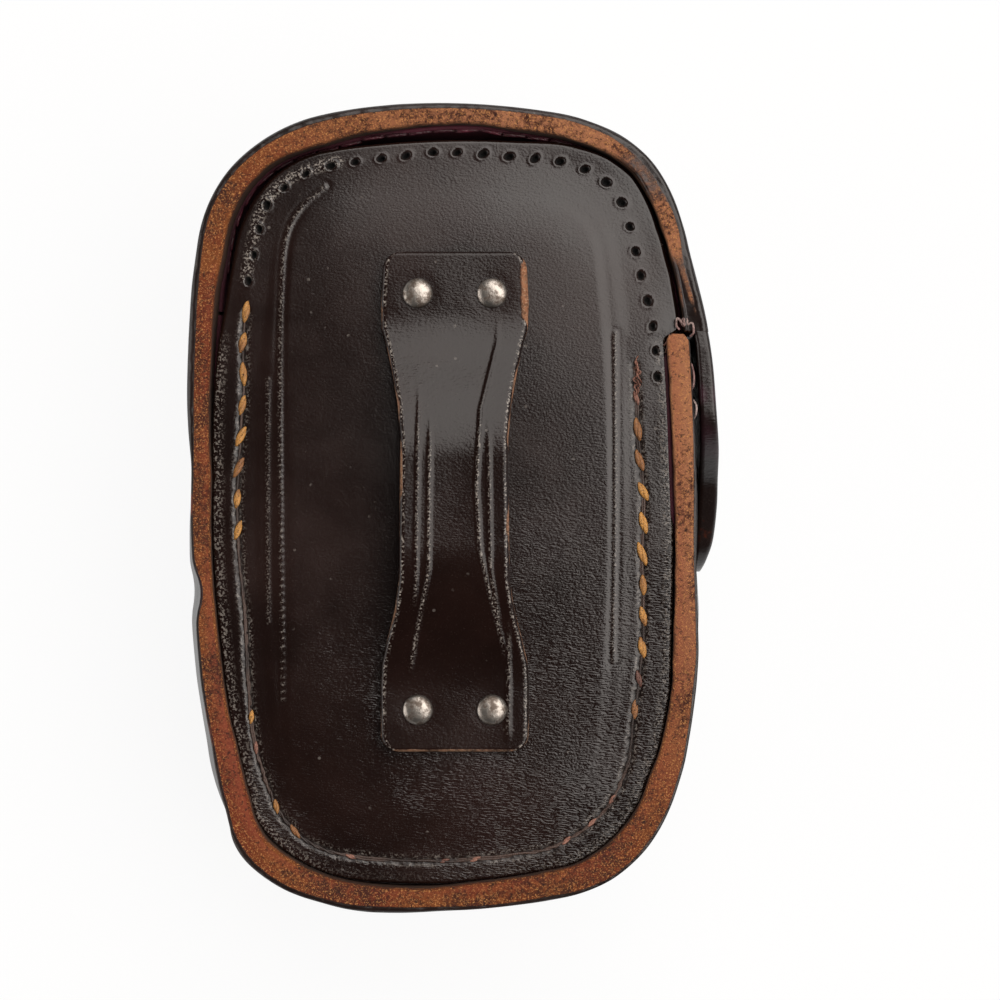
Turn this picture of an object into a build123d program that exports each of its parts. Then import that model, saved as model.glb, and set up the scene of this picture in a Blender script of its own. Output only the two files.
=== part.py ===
from build123d import *
import os
from math import sqrt

os.makedirs("parts", exist_ok=True)

# Moulded leather case for a hand light meter. It lies on its front, with its back up.
# X runs across the back, Y up the back towards the lid, Z from the front face to the back.
# The lid is the upper end of the case and swings sideways on a fold in the left wall.

# Moulded cups
case_width = 67.4
case_length = 106.0
case_depth = 37.0
side_bow = 3.9
lid_end_bow = 3.2
body_end_bow = 4.2
lid_corner_radius = 20.0
body_corner_radius = 22.5
front_edge_radius = 7.0
rim_bevel = 1.1
leather = 3.2
lining_leather = 0.7
lining_below_rim = 1.0
glue_line = 0.05

# Mouth where the lid meets the body: it slopes down from the fold to the tab
lid_length = 27.0
mouth_lean = 3.0
mouth_gap = 0.5

# Back panel with its board and lining
panel_drop = 1.8
panel_leather = 2.6
panel_side_margin = 4.3
panel_top_margin = 4.4
panel_bottom_margin = 3.6
panel_edge_round = 1.2
board_margin = 10.8
board_thickness = 1.2
back_lining_leather = 0.6

# Welt inside the wall, and the hand-sewn seam that holds the panel to it
welt_width = 6.2
welt_leather = 2.0
welt_end_margin = 1.5
seam_inset = 3.0
stitch_pitch = 4.0
stitch_length = 2.7
thread_radius = 0.4

# Belt loop
loop_x = 1.5
loop_y = 0.9
loop_length = 65.4
loop_end_width = 19.4
loop_waist_width = 14.2
loop_leather = 2.2
loop_arch = 4.7
loop_foot = 12.4
loop_rise = 7.0
loop_bend_radius = 4.5
loop_corner_radius = 1.8
waist_half_length = 10.5
flare_half_length = 21.0

# Rivets of the belt loop
rivet_spacing_x = 9.7
rivet_spacing_y = 54.4
rivet_head_radius = 2.0
rivet_head_height = 1.1
rivet_head_edge = 0.2
rivet_shank_radius = 1.1
rivet_peen_radius = 1.6
rivet_peen_height = 0.5
washer_radius = 2.7
washer_thickness = 0.6
fit_clearance = 0.05

# Closing tab of the lid, outside the right wall
tab_gap = 0.7
tab_leather = 1.8
tab_fold_leather = 1.3
tab_tip_leather = 1.0
tab_fold_drop = 1.5
tab_fold_gap = 0.4
tab_length = 30.3
tab_tip_radius = 7.6
tab_tip_z = 17.0
tab_front_z = 8.0
tab_fairing_length = 10.5
mouth_set_in = 0.8
snap_set_in = 0.3

# Snap fastener on the right side
snap_from_tip = 11.3
stud_base_radius = 4.0
stud_base_thickness = 0.45
stud_neck_radius = 1.5
stud_neck_length = 0.7
stud_head_radius = 2.0
stud_head_length = 0.75
post_radius = 1.4
post_flange_radius = 3.4
post_flange_thickness = 0.4
socket_radius = 3.3
socket_wall = 0.55
socket_floor = 0.45
socket_flange_radius = 4.3
socket_flange_thickness = 0.3
spring_wire_radius = 0.25
cap_radius = 4.6
cap_height = 0.9
cap_edge = 0.25
cap_stem_radius = 1.2

# Thread that holds the lid's lining near the rim
lid_stitch_pitch = 3.2
lid_stitch_length = 2.2
lid_thread_radius = 0.22

# Places along the case, from its upper end down
fold_y = case_length / 2 - lid_length
mouth_right_y = fold_y - mouth_lean
tab_fairing_y = mouth_right_y + tab_fairing_length
tab_fold_y = mouth_right_y - tab_fold_drop
tab_tip_y = tab_fold_y - tab_length
snap_y = tab_tip_y + snap_from_tip

# Heights, from the front face up
panel_top_z = case_depth - panel_drop
panel_under_z = panel_top_z - panel_leather
board_under_z = panel_under_z - board_thickness
back_lining_under_z = board_under_z - back_lining_leather
loop_top_z = panel_top_z + loop_leather
past_rim_z = case_depth + leather
lining_inset = leather + glue_line
lining_inner_inset = lining_inset + lining_leather
welt_inset = lining_inner_inset + glue_line

# Each side of the outline is one arc: its ends, its radius and the height of its middle
side_top_y = case_length / 2 - lid_end_bow
side_bottom_y = body_end_bow - case_length / 2
side_middle_y = (side_top_y + side_bottom_y) / 2
side_half_chord = (side_top_y - side_bottom_y) / 2
side_radius = (side_half_chord**2 + side_bow**2) / (2 * side_bow)


def side_x(y):
    """Half width of the case at the height y, between its corners."""
    return case_width / 2 - side_radius + sqrt(side_radius**2 - (y - side_middle_y) ** 2)


def bowed_outline(side_margin, top_margin, bottom_margin):
    """Outline of the case with its sides and ends moved in: four bowed sides with round corners."""
    half_width = case_width / 2 - side_margin
    top = case_length / 2 - top_margin
    bottom = bottom_margin - case_length / 2
    corner_x = half_width - side_bow
    upper = (corner_x, top - lid_end_bow)
    lower = (corner_x, bottom + body_end_bow)
    middle_y = (upper[1] + lower[1]) / 2
    with BuildSketch() as shape:
        with BuildLine():
            ThreePointArc(lower, (half_width, middle_y), upper)
            ThreePointArc(upper, (0, top), (-corner_x, upper[1]))
            ThreePointArc((-corner_x, upper[1]), (-half_width, middle_y), (-corner_x, lower[1]))
            ThreePointArc((-corner_x, lower[1]), (0, bottom), lower)
        make_face()
        fillet(shape.vertices().group_by(Axis.Y)[-1], lid_corner_radius - top_margin)
        fillet(shape.vertices().group_by(Axis.Y)[0], body_corner_radius - bottom_margin)
    return shape.sketch


def case_outline(inset):
    """Outline of the case seen on its back, moved inwards by inset."""
    return bowed_outline(inset, inset, inset)


def panel_outline(inset):
    """Outline of the back panel, moved inwards by inset."""
    return bowed_outline(
        panel_side_margin + inset, panel_top_margin + inset, panel_bottom_margin + inset
    )


def cup_block(inset, back_z):
    """Solid block of the case moved in by inset on all sides, up to back_z, with a round front edge."""
    with BuildPart() as block:
        with BuildSketch(Plane.XY.offset(inset)):
            add(case_outline(inset))
        extrude(amount=back_z - inset)
        fillet(block.edges().group_by(Axis.Z)[0], front_edge_radius - inset)
    return block.part


def ring_profile(inner, outer, low, high):
    """Rectangle in the half plane of a turned piece, from inner to outer radius."""
    with BuildSketch() as section:
        with Locations(((low + high) / 2, (inner + outer) / 2)):
            Rectangle(high - low, outer - inner)
    return section.sketch


# The lid swings on the outer face of the left wall, where the leather folds
fold_x = -side_x(fold_y)
mouth_run = side_x(mouth_right_y) - fold_x
mouth_rise = mouth_right_y - fold_y
mouth_slope = mouth_rise / mouth_run
mouth_plane = Plane(
    origin=(fold_x, fold_y, 0),
    x_dir=(mouth_run, mouth_rise, 0),
    z_dir=(-mouth_rise, mouth_run, 0),
)

# Outer face of the body's right wall, set in a little to make room for the tab
wall_face_x = side_x(snap_y) - snap_set_in
relief_top = (side_x(mouth_right_y) - mouth_set_in, mouth_right_y)
relief_middle = (wall_face_x, snap_y)
relief_bottom = (side_x(tab_tip_y), tab_tip_y)
tab_inner_x = wall_face_x + tab_gap
tab_outer_x = tab_inner_x + tab_leather
tab_fold_x = relief_top[0] + tab_gap + tab_fold_leather
snap_z = tab_tip_z
snap_plane = Plane(origin=(0, snap_y, snap_z), x_dir=(1, 0, 0), z_dir=(0, -1, 0))
snap_axis = Axis((0, snap_y, snap_z), (1, 0, 0))
past_tip_y = tab_tip_y - 2 * tab_leather
far = case_width


def tab_inner_line():
    """Inner face of the tab, at an even gap from the wall that it lies on."""
    return ThreePointArc(
        (relief_top[0] + tab_gap, relief_top[1]),
        (tab_inner_x, snap_y),
        (relief_bottom[0] + tab_gap, past_tip_y),
    )


def lid_outline():
    """Outline of the lid seen on its back, whose right side swells out into the closing tab."""
    corner_x = case_width / 2 - side_bow
    upper_left = (-corner_x, side_top_y)
    lower_left = (-corner_x, side_bottom_y)
    upper_right = (corner_x, side_top_y)
    between_y = (side_top_y + tab_fairing_y) / 2
    fairing_start = (side_x(tab_fairing_y), tab_fairing_y)
    above_middle = tab_fairing_y - side_middle_y
    side_lean = above_middle / sqrt(side_radius**2 - above_middle**2)
    past_tip_x = relief_bottom[0] + tab_gap + tab_tip_leather
    with BuildSketch() as shape:
        with BuildLine():
            ThreePointArc(lower_left, (-case_width / 2, side_middle_y), upper_left)
            ThreePointArc(upper_left, (0, case_length / 2), upper_right)
            ThreePointArc(upper_right, (side_x(between_y), between_y), fairing_start)
            Spline(
                fairing_start,
                (tab_fold_x, tab_fold_y),
                (tab_outer_x, snap_y),
                (past_tip_x, past_tip_y),
                tangents=[(side_lean, -1), (-0.1, -1)],
            )
            Polyline((past_tip_x, past_tip_y), (corner_x, side_bottom_y), lower_left)
        make_face()
        fillet(shape.vertices().group_by(Axis.Y)[-1], lid_corner_radius)
    return shape.sketch


def lid_block():
    """Solid block of the lid and its tab, with the moulded front edge and the bevelled rim."""
    with BuildPart() as block:
        with BuildSketch():
            add(lid_outline())
        extrude(amount=case_depth)
        front = block.edges().group_by(Axis.Z)[0]
        fillet(front.filter_by(lambda e: e.center().Y > tab_tip_y), front_edge_radius)
        rim = block.edges().group_by(Axis.Z)[-1]
        fillet(rim.filter_by(lambda e: e.center().Y > tab_tip_y), rim_bevel)
    return block.part


# Body shell: the lower cup, open at the back and at the mouth
with BuildPart() as body_shell:
    add(cup_block(0, case_depth))
    fillet(body_shell.edges().group_by(Axis.Z)[-1], rim_bevel)
    add(cup_block(leather, past_rim_z), mode=Mode.SUBTRACT)
    split(bisect_by=mouth_plane.offset(-mouth_gap / 2), keep=Keep.BOTTOM)
    # the right wall is set in under the tab
    with BuildSketch():
        with BuildLine():
            ThreePointArc(relief_top, relief_middle, relief_bottom)
            Polyline(relief_bottom, (far, tab_tip_y), (far, mouth_right_y), relief_top)
        make_face()
    extrude(amount=case_depth, mode=Mode.SUBTRACT)
    # seat for the base of the snap stud, and a hole for its post
    with BuildSketch(snap_plane):
        add(ring_profile(0, stud_base_radius + fit_clearance, wall_face_x - stud_base_thickness, far))
        add(ring_profile(0, post_radius + fit_clearance, 0, far))
    revolve(axis=snap_axis, mode=Mode.SUBTRACT)
body_shell.part.label = "body_shell"
export_step(body_shell.part, "parts/body_shell.step")

# Body lining: a thin skin glued inside the lower cup, up to the welt
with BuildPart() as body_lining:
    add(cup_block(lining_inset, panel_under_z - glue_line))
    add(cup_block(lining_inner_inset, past_rim_z), mode=Mode.SUBTRACT)
    split(bisect_by=mouth_plane.offset(-mouth_gap), keep=Keep.BOTTOM)
    with BuildSketch(snap_plane):
        add(ring_profile(0, post_flange_radius + 2 * fit_clearance, 0, far))
    revolve(axis=snap_axis, mode=Mode.SUBTRACT)
body_lining.part.label = "body_lining"
export_step(body_lining.part, "parts/body_lining.step")

# Seam welt: a leather strip glued inside the wall, which the back panel is sewn to
with BuildPart() as seam_welt:
    with BuildSketch(Plane.XY.offset(panel_under_z - glue_line)):
        add(case_outline(welt_inset))
        add(case_outline(welt_inset + welt_width), mode=Mode.SUBTRACT)
    extrude(amount=-welt_leather)
    split(bisect_by=mouth_plane.offset(-welt_end_margin), keep=Keep.BOTTOM)
seam_welt.part.label = "seam_welt"
export_step(seam_welt.part, "parts/seam_welt.step")

# Places of the belt loop's rivets, from the middle of the loop
loop_centre = Location((loop_x, loop_y, 0))
rivet_hole_radius = rivet_shank_radius + fit_clearance


def drill_rivet_holes(top):
    """Cuts the rivet holes through the piece that is being built, from the height top down."""
    with Locations(Plane.XY.offset(top) * loop_centre):
        with GridLocations(rivet_spacing_x, rivet_spacing_y, 2, 2):
            Hole(rivet_hole_radius)


# Back panel: thick leather set into the rim, with its outer edge rounded over
with BuildPart() as back_panel:
    with BuildSketch(Plane.XY.offset(panel_under_z)):
        add(panel_outline(0))
    extrude(amount=panel_leather)
    fillet(back_panel.edges().group_by(Axis.Z)[-1], panel_edge_round)
    drill_rivet_holes(panel_top_z)
back_panel.part.label = "back_panel"
export_step(back_panel.part, "parts/back_panel.step")

# Board that stiffens the back, and the thin leather that lines it
board_outline = case_outline(board_margin)
with BuildPart() as back_board:
    with BuildSketch(Plane.XY.offset(board_under_z)):
        add(board_outline)
    extrude(amount=board_thickness)
    drill_rivet_holes(panel_under_z)
back_board.part.label = "back_board"
export_step(back_board.part, "parts/back_board.step")

with BuildPart() as back_lining:
    with BuildSketch(Plane.XY.offset(back_lining_under_z)):
        add(board_outline)
    extrude(amount=back_lining_leather)
    drill_rivet_holes(board_under_z)
back_lining.part.label = "back_lining"
export_step(back_lining.part, "parts/back_lining.step")

# Belt loop: a waisted strap that lies flat at its ends and arches between them
strap_middle_z = panel_top_z + loop_leather / 2
arch_middle_z = strap_middle_z + loop_arch
loop_half = loop_length / 2
foot_y = loop_half - loop_foot
arch_y = foot_y - loop_rise
with BuildPart() as belt_loop:
    with BuildSketch(Plane.YZ.offset(loop_x - loop_end_width)):
        with BuildLine():
            FilletPolyline(
                (loop_y - loop_half, strap_middle_z),
                (loop_y - foot_y, strap_middle_z),
                (loop_y - arch_y, arch_middle_z),
                (loop_y + arch_y, arch_middle_z),
                (loop_y + foot_y, strap_middle_z),
                (loop_y + loop_half, strap_middle_z),
                radius=loop_bend_radius,
            )
        trace(line_width=loop_leather)
    extrude(amount=2 * loop_end_width)
    with BuildSketch(Plane.XY.offset(panel_top_z)) as loop_plan:
        with BuildLine() as loop_edge:
            end_x = loop_end_width / 2
            waist_x = loop_waist_width / 2
            Polyline((0, loop_half), (end_x, loop_half), (end_x, flare_half_length))
            Spline(
                (end_x, flare_half_length),
                (waist_x, waist_half_length),
                tangents=[(0, -1), (0, -1)],
            )
            Line((waist_x, waist_half_length), (waist_x, 0))
            mirror(about=Plane.XZ)
            mirror(about=Plane.YZ)
        make_face()
        fillet(loop_plan.vertices().group_by(Axis.Y)[-1], loop_corner_radius)
        fillet(loop_plan.vertices().group_by(Axis.Y)[0], loop_corner_radius)
    extrude(loop_plan.sketch.moved(loop_centre), amount=case_depth, mode=Mode.INTERSECT)
    drill_rivet_holes(loop_top_z)
belt_loop.part.label = "belt_loop"
export_step(belt_loop.part, "parts/belt_loop.step")

# Rivets: domed heads on the strap, shanks through the back, ends spread over washers
washer_under_z = back_lining_under_z - washer_thickness
peen_under_z = washer_under_z - rivet_peen_height
with BuildPart() as loop_rivets:
    with BuildSketch(Plane.XZ):
        with BuildLine():
            Polyline(
                (0, loop_top_z + rivet_head_height),
                (0, peen_under_z),
                (rivet_peen_radius, peen_under_z),
                (rivet_peen_radius, washer_under_z),
                (rivet_shank_radius, washer_under_z),
                (rivet_shank_radius, loop_top_z),
                (rivet_head_radius, loop_top_z),
                (rivet_head_radius, loop_top_z + rivet_head_edge),
            )
            TangentArc(
                (0, loop_top_z + rivet_head_height),
                (rivet_head_radius, loop_top_z + rivet_head_edge),
                tangent=(1, 0),
            )
        make_face()
    revolve(axis=Axis.Z)
with BuildPart() as rivet_group:
    with Locations(loop_centre):
        with GridLocations(rivet_spacing_x, rivet_spacing_y, 2, 2):
            add(loop_rivets.part)
rivet_group.part.label = "loop_rivets"
export_step(rivet_group.part, "parts/loop_rivets.step")

with BuildPart() as rivet_washers:
    with BuildSketch(Plane.XY.offset(washer_under_z)):
        with Locations(loop_centre):
            with GridLocations(rivet_spacing_x, rivet_spacing_y, 2, 2):
                Circle(washer_radius)
                Circle(rivet_hole_radius, mode=Mode.SUBTRACT)
    extrude(amount=washer_thickness)
rivet_washers.part.label = "rivet_washers"
export_step(rivet_washers.part, "parts/rivet_washers.step")


def stitches_along(path, pitch, keep):
    """Places of short stitches along a closed path, where the test keep allows one."""
    count = round(path.length / pitch)
    places = [path.location_at(i / count) for i in range(count)]
    return [place for place in places if keep(place.position)]


# Seam thread: waxed stitches on the panel, all round the body and none beside the lid
seam_z = panel_top_z + thread_radius + fit_clearance
seam_path = Plane.XY.offset(seam_z) * panel_outline(seam_inset).wire()
seam_top_y = mouth_right_y - stitch_length
with BuildPart() as seam_thread:
    with Locations(*stitches_along(seam_path, stitch_pitch, lambda p: p.Y < seam_top_y)):
        Cylinder(thread_radius, stitch_length)
seam_thread.part.label = "seam_thread"
export_step(seam_thread.part, "parts/seam_thread.step")

# Snap stud: its base lies in the wall, its head stands out into the tab
stud_back_x = wall_face_x - stud_base_thickness
neck_end_x = wall_face_x + stud_neck_length
head_end_x = neck_end_x + stud_head_length
with BuildPart() as snap_stud:
    with BuildSketch(snap_plane):
        with BuildLine():
            Polyline(
                (head_end_x, 0),
                (stud_back_x, 0),
                (stud_back_x, stud_base_radius),
                (wall_face_x, stud_base_radius),
                (wall_face_x, stud_neck_radius),
                (neck_end_x, stud_neck_radius),
                (neck_end_x, stud_head_radius),
                ((neck_end_x + head_end_x) / 2, stud_head_radius),
                (head_end_x, stud_neck_radius),
                (head_end_x, 0),
            )
        make_face()
    revolve(axis=snap_axis)
snap_stud.part.label = "snap_stud"
export_step(snap_stud.part, "parts/snap_stud.step")

# Snap post: a flange inside the wall and a stem that reaches the stud
flange_high_x = side_x(snap_y) - leather - glue_line
flange_low_x = flange_high_x - post_flange_thickness
with BuildPart() as snap_post:
    with BuildSketch(snap_plane):
        add(ring_profile(0, post_flange_radius, flange_low_x, flange_high_x))
        add(ring_profile(0, post_radius, flange_low_x, stud_back_x))
    revolve(axis=snap_axis)
snap_post.part.label = "snap_post"
export_step(snap_post.part, "parts/snap_post.step")

# Lid shell: the upper cup, whose right wall passes outside the body as the root of the tab
root_end_y = tab_fold_y + tab_fold_gap / 2
root_inner_x = relief_top[0] + tab_gap
lid_mouth_y = fold_y + mouth_slope * (root_inner_x - fold_x) + mouth_gap / 2
lid_mouth_left_y = fold_y - mouth_slope * (far + fold_x) + mouth_gap / 2
with BuildPart() as lid_shell:
    add(lid_block())
    add(cup_block(leather, past_rim_z), mode=Mode.SUBTRACT)
    with BuildSketch():
        with BuildLine():
            Polyline(
                (-far, lid_mouth_left_y),
                (root_inner_x, lid_mouth_y),
                (root_inner_x, root_end_y),
                (far, root_end_y),
                (far, -far),
                (-far, -far),
                close=True,
            )
        make_face()
    extrude(amount=case_depth, mode=Mode.SUBTRACT)
lid_shell.part.label = "lid_shell"
export_step(lid_shell.part, "parts/lid_shell.step")

# Lid lining, glued inside the upper cup and sewn to it near the rim
with BuildPart() as lid_lining:
    add(cup_block(lining_inset, case_depth - lining_below_rim))
    add(cup_block(lining_inner_inset, past_rim_z), mode=Mode.SUBTRACT)
    split(bisect_by=mouth_plane.offset(mouth_gap), keep=Keep.TOP)
lid_lining.part.label = "lid_lining"
export_step(lid_lining.part, "parts/lid_lining.step")

# Lid thread: a row of stitches just inside the rim
lid_thread_z = case_depth - lining_below_rim - 2 * lid_thread_radius
lid_thread_inset = lining_inner_inset + lid_thread_radius + fit_clearance
lid_thread_path = Plane.XY.offset(lid_thread_z) * case_outline(lid_thread_inset).wire()
lid_thread_low_y = fold_y + lid_stitch_length
with BuildPart() as lid_thread:
    with Locations(
        *stitches_along(lid_thread_path, lid_stitch_pitch, lambda p: p.Y > lid_thread_low_y)
    ):
        Cylinder(lid_thread_radius, lid_stitch_length)
lid_thread.part.label = "lid_thread"
export_step(lid_thread.part, "parts/lid_thread.step")

# Closing tab: a round-ended tongue that lies along the right wall
tab_top_y = tab_fold_y - tab_fold_gap / 2
tab_tip_centre_y = tab_tip_y + tab_tip_radius
with BuildPart() as closing_tab:
    add(lid_block())
    with BuildSketch(Plane.YZ):
        with BuildLine():
            CenterArc((tab_tip_centre_y, tab_tip_z), tab_tip_radius, 0, 360)
            Line((tab_top_y, tab_front_z), (tab_top_y, case_depth))
        make_hull()
    extrude(amount=far, mode=Mode.INTERSECT)
    with BuildSketch():
        with BuildLine():
            inner = tab_inner_line()
            Polyline(inner @ 1, (0, past_tip_y), (0, mouth_right_y), inner @ 0)
        make_face()
    extrude(amount=case_depth, mode=Mode.SUBTRACT)
    with BuildSketch(snap_plane):
        add(ring_profile(0, socket_radius + fit_clearance, 0, far))
        add(ring_profile(0, socket_flange_radius + fit_clearance, 0, tab_inner_x))
    revolve(axis=snap_axis, mode=Mode.SUBTRACT)
closing_tab.part.label = "closing_tab"
export_step(closing_tab.part, "parts/closing_tab.step")

# Snap socket: a cup in the tab, open towards the wall
socket_mouth_x = tab_inner_x - socket_flange_thickness
socket_bore = socket_radius - socket_wall
with BuildPart() as snap_socket:
    with BuildSketch(snap_plane):
        add(ring_profile(socket_bore, socket_flange_radius, socket_mouth_x, tab_inner_x))
        add(ring_profile(socket_bore, socket_radius, tab_inner_x, tab_outer_x))
        add(ring_profile(0, socket_radius, tab_outer_x - socket_floor, tab_outer_x))
    revolve(axis=snap_axis)
snap_socket.part.label = "snap_socket"
export_step(snap_socket.part, "parts/snap_socket.step")

# Snap spring: a wire ring in the socket, round the neck of the stud
spring_x = socket_mouth_x + 2 * spring_wire_radius
with BuildPart() as snap_spring:
    with BuildSketch(snap_plane):
        with Locations((spring_x, socket_bore - fit_clearance - spring_wire_radius)):
            Circle(spring_wire_radius)
    revolve(axis=snap_axis)
snap_spring.part.label = "snap_spring"
export_step(snap_spring.part, "parts/snap_spring.step")

# Snap cap: a shallow dome on the outside of the tab, with a stem onto the socket
cap_seat_x = tab_outer_x + 2 * fit_clearance
with BuildPart() as snap_cap:
    with BuildSketch(snap_plane):
        with BuildLine():
            Polyline(
                (cap_seat_x + cap_height, 0),
                (tab_outer_x + fit_clearance, 0),
                (tab_outer_x + fit_clearance, cap_stem_radius),
                (cap_seat_x, cap_stem_radius),
                (cap_seat_x, cap_radius),
                (cap_seat_x + cap_edge, cap_radius),
            )
            TangentArc(
                (cap_seat_x + cap_height, 0),
                (cap_seat_x + cap_edge, cap_radius),
                tangent=(0, 1),
            )
        make_face()
    revolve(axis=snap_axis)
snap_cap.part.label = "snap_cap"
export_step(snap_cap.part, "parts/snap_cap.step")
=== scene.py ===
"""Looks of a moulded leather case for a hand light meter, which lies on its front with its back up.

Shapes are worked out in millimetres, as in the part's own source, and become metres in the meshes.
"""

import logging
from collections import Counter
from dataclasses import dataclass, field
from enum import Enum
from math import atan2, cos, hypot, pi, sin, sqrt

import bmesh
import bpy
import numpy as np
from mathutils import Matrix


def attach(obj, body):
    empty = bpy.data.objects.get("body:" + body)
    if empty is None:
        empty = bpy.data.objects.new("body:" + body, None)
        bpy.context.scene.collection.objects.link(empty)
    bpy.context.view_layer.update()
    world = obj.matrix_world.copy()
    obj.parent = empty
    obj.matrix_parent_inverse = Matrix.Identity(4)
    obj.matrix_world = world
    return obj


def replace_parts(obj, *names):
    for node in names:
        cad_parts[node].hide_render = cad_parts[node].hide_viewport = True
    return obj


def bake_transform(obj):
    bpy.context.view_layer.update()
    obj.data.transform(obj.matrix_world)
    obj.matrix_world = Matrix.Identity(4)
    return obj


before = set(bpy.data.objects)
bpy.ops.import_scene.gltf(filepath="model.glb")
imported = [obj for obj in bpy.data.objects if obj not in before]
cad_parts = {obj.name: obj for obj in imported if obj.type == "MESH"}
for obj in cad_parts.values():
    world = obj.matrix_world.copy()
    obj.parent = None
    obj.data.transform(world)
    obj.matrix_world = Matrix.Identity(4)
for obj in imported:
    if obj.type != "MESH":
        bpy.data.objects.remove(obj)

LOG = logging.getLogger("scene")
MM = 0.001
QUARTER = pi / 2


Triple = tuple[float, float, float]
Socket = bpy.types.NodeSocket
Material = bpy.types.Material
Thing = bpy.types.Object


class Body(Enum):
    """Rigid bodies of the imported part."""

    CASE = "body"
    LID = "lid"
    TAB = "tab"


class Layer(Enum):
    """Point attributes that the meshes carry for their materials."""

    RAW = "raw"
    FLESH = "flesh"
    WORN = "worn"
    SHADE = "shade"
    # painted glints: pale sparks along grain ridges, creases, the seam band and strap edges,
    # standing in for highlights
    PAINTED_GLINT = "pale"
    BLUSH = "blush"


def ease(low: float, high: float, value):
    """Smooth step of value from 0 at low to 1 at high.

    Args:
        low: Value at which the step starts.
        high: Value at which it ends.
        value: Number or array.

    Returns:
        The eased number or array.
    """
    t = np.clip((np.asarray(value, float) - low) / (high - low), 0.0, 1.0)
    return t * t * (3 - 2 * t)


def bell(value):
    """Bell curve of a number or an array: 1 at 0, near 0 beyond 2."""
    return np.exp(-(value**2))


class Ripple:
    """Soft irregularity: a seeded sum of sine waves in space, between about -1 and 1."""

    def __init__(self, seed: int, shortest: float, longest: float, count: int = 14) -> None:
        rng = np.random.default_rng(seed)
        aim = rng.normal(size=(count, 3))
        aim /= np.linalg.norm(aim, axis=1)[:, None]
        self.waves = aim * (2 * pi / rng.uniform(shortest, longest, count))[:, None]
        self.phases = rng.uniform(0, 2 * pi, count)

    def __call__(self, points: np.ndarray) -> np.ndarray:
        """Value of the ripple at each point.

        Args:
            points: Array whose last axis is X, Y and Z in millimetres.

        Returns:
            Array of the values.
        """
        return np.sin(points @ self.waves.T + self.phases).sum(axis=-1) / sqrt(len(self.phases))


def way_along(line: np.ndarray) -> np.ndarray:
    """Way from the start of a line to each of its points."""
    return np.concatenate([[0.0], np.cumsum(np.linalg.norm(np.diff(line, axis=0), axis=1))])


# ---- shapes in the plan ----


@dataclass(frozen=True)
class Plan:
    """Outline of the case: four bowed sides with round corners, as in the part's source."""

    width: float = 67.4
    length: float = 106.0
    side_bow: float = 3.9
    top_bow: float = 3.2
    bottom_bow: float = 4.2
    top_radius: float = 20.0
    bottom_radius: float = 22.5
    counts: tuple[int, ...] = (50, 94, 220, 104, 40)

    @staticmethod
    def _meet(a: tuple, ra: float, b: tuple, rb: float, upper: bool) -> tuple[float, float]:
        """Where two circles meet, to the right, on the upper or the lower side."""
        dx, dy = b[0] - a[0], b[1] - a[1]
        gap = hypot(dx, dy)
        along = (gap * gap + ra * ra - rb * rb) / (2 * gap)
        off = sqrt(max(ra * ra - along * along, 0.0))
        middle = (a[0] + along * dx / gap, a[1] + along * dy / gap)
        ends = [(middle[0] - s * off * dy / gap, middle[1] + s * off * dx / gap) for s in (1, -1)]
        right = [p for p in ends if p[0] > 0] or ends
        return max(right, key=lambda p: p[1] if upper else -p[1])

    def ring(self, side: float, top: float | None = None, bottom: float | None = None,
             density: float = 1.0) -> tuple[np.ndarray, np.ndarray]:
        """Closed line of points at given distances inside the outline, clockwise from the top.

        Args:
            side: Distance inside the long sides.
            top: Distance inside the upper end, as side if None.
            bottom: Distance inside the lower end, as side if None.
            density: Factor on the number of points.

        Returns:
            Points and outward normals, each an array of rows X, Y.
        """
        top = side if top is None else top
        bottom = side if bottom is None else bottom
        half = self.width / 2 - side
        high, low = self.length / 2 - top, bottom - self.length / 2
        corner = half - self.side_bow
        up, down = high - self.top_bow, low + self.bottom_bow
        chord = (up - down) / 2
        rs = (chord**2 + self.side_bow**2) / (2 * self.side_bow)
        rt = (corner**2 + self.top_bow**2) / (2 * self.top_bow)
        rb = (corner**2 + self.bottom_bow**2) / (2 * self.bottom_bow)
        cs, ct, cb = (half - rs, (up + down) / 2), (0.0, high - rt), (0.0, low + rb)
        ft, fb = self.top_radius - top, self.bottom_radius - bottom
        pt = self._meet(cs, rs - ft, ct, rt - ft, True)
        pb = self._meet(cs, rs - fb, cb, rb - fb, False)
        turn = [QUARTER, atan2(pt[1] - ct[1], pt[0] - ct[0]), atan2(pt[1] - cs[1], pt[0] - cs[0]),
                atan2(pb[1] - cs[1], pb[0] - cs[0]), atan2(pb[1] - cb[1], pb[0] - cb[0]), -QUARTER]
        arcs = [(ct, rt), (pt, ft), (cs, rs), (pb, fb), (cb, rb)]
        points, normals = [], []
        for (centre, radius), start, stop, count in zip(arcs, turn, turn[1:], self.counts):
            angle = np.linspace(start, stop, round(count * density), endpoint=False)
            way = np.stack([np.cos(angle), np.sin(angle)], axis=1)
            points.append(np.array(centre) + radius * way)
            normals.append(way)
        right, way = np.vstack([*points, [[0.0, low]]]), np.vstack([*normals, [[0.0, -1.0]]])
        flip = np.array([-1.0, 1.0])
        return np.vstack([right, right[-2:0:-1] * flip]), np.vstack([way, way[-2:0:-1] * flip])

    def side_x(self, y):
        """Half width of the case at the height y, between its corners."""
        up, down = self.length / 2 - self.top_bow, self.bottom_bow - self.length / 2
        chord, middle = (up - down) / 2, (up + down) / 2
        rs = (chord**2 + self.side_bow**2) / (2 * self.side_bow)
        return self.width / 2 - rs + np.sqrt(rs**2 - (np.asarray(y, float) - middle) ** 2)


PLAN = Plan()
OUTLINE, OUTWARD = PLAN.ring(0.0)
CLOSED_WAY = way_along(np.vstack([OUTLINE, OUTLINE[:1]]))
WAY, TOTAL_WAY = CLOSED_WAY[:-1], float(CLOSED_WAY[-1])


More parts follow.
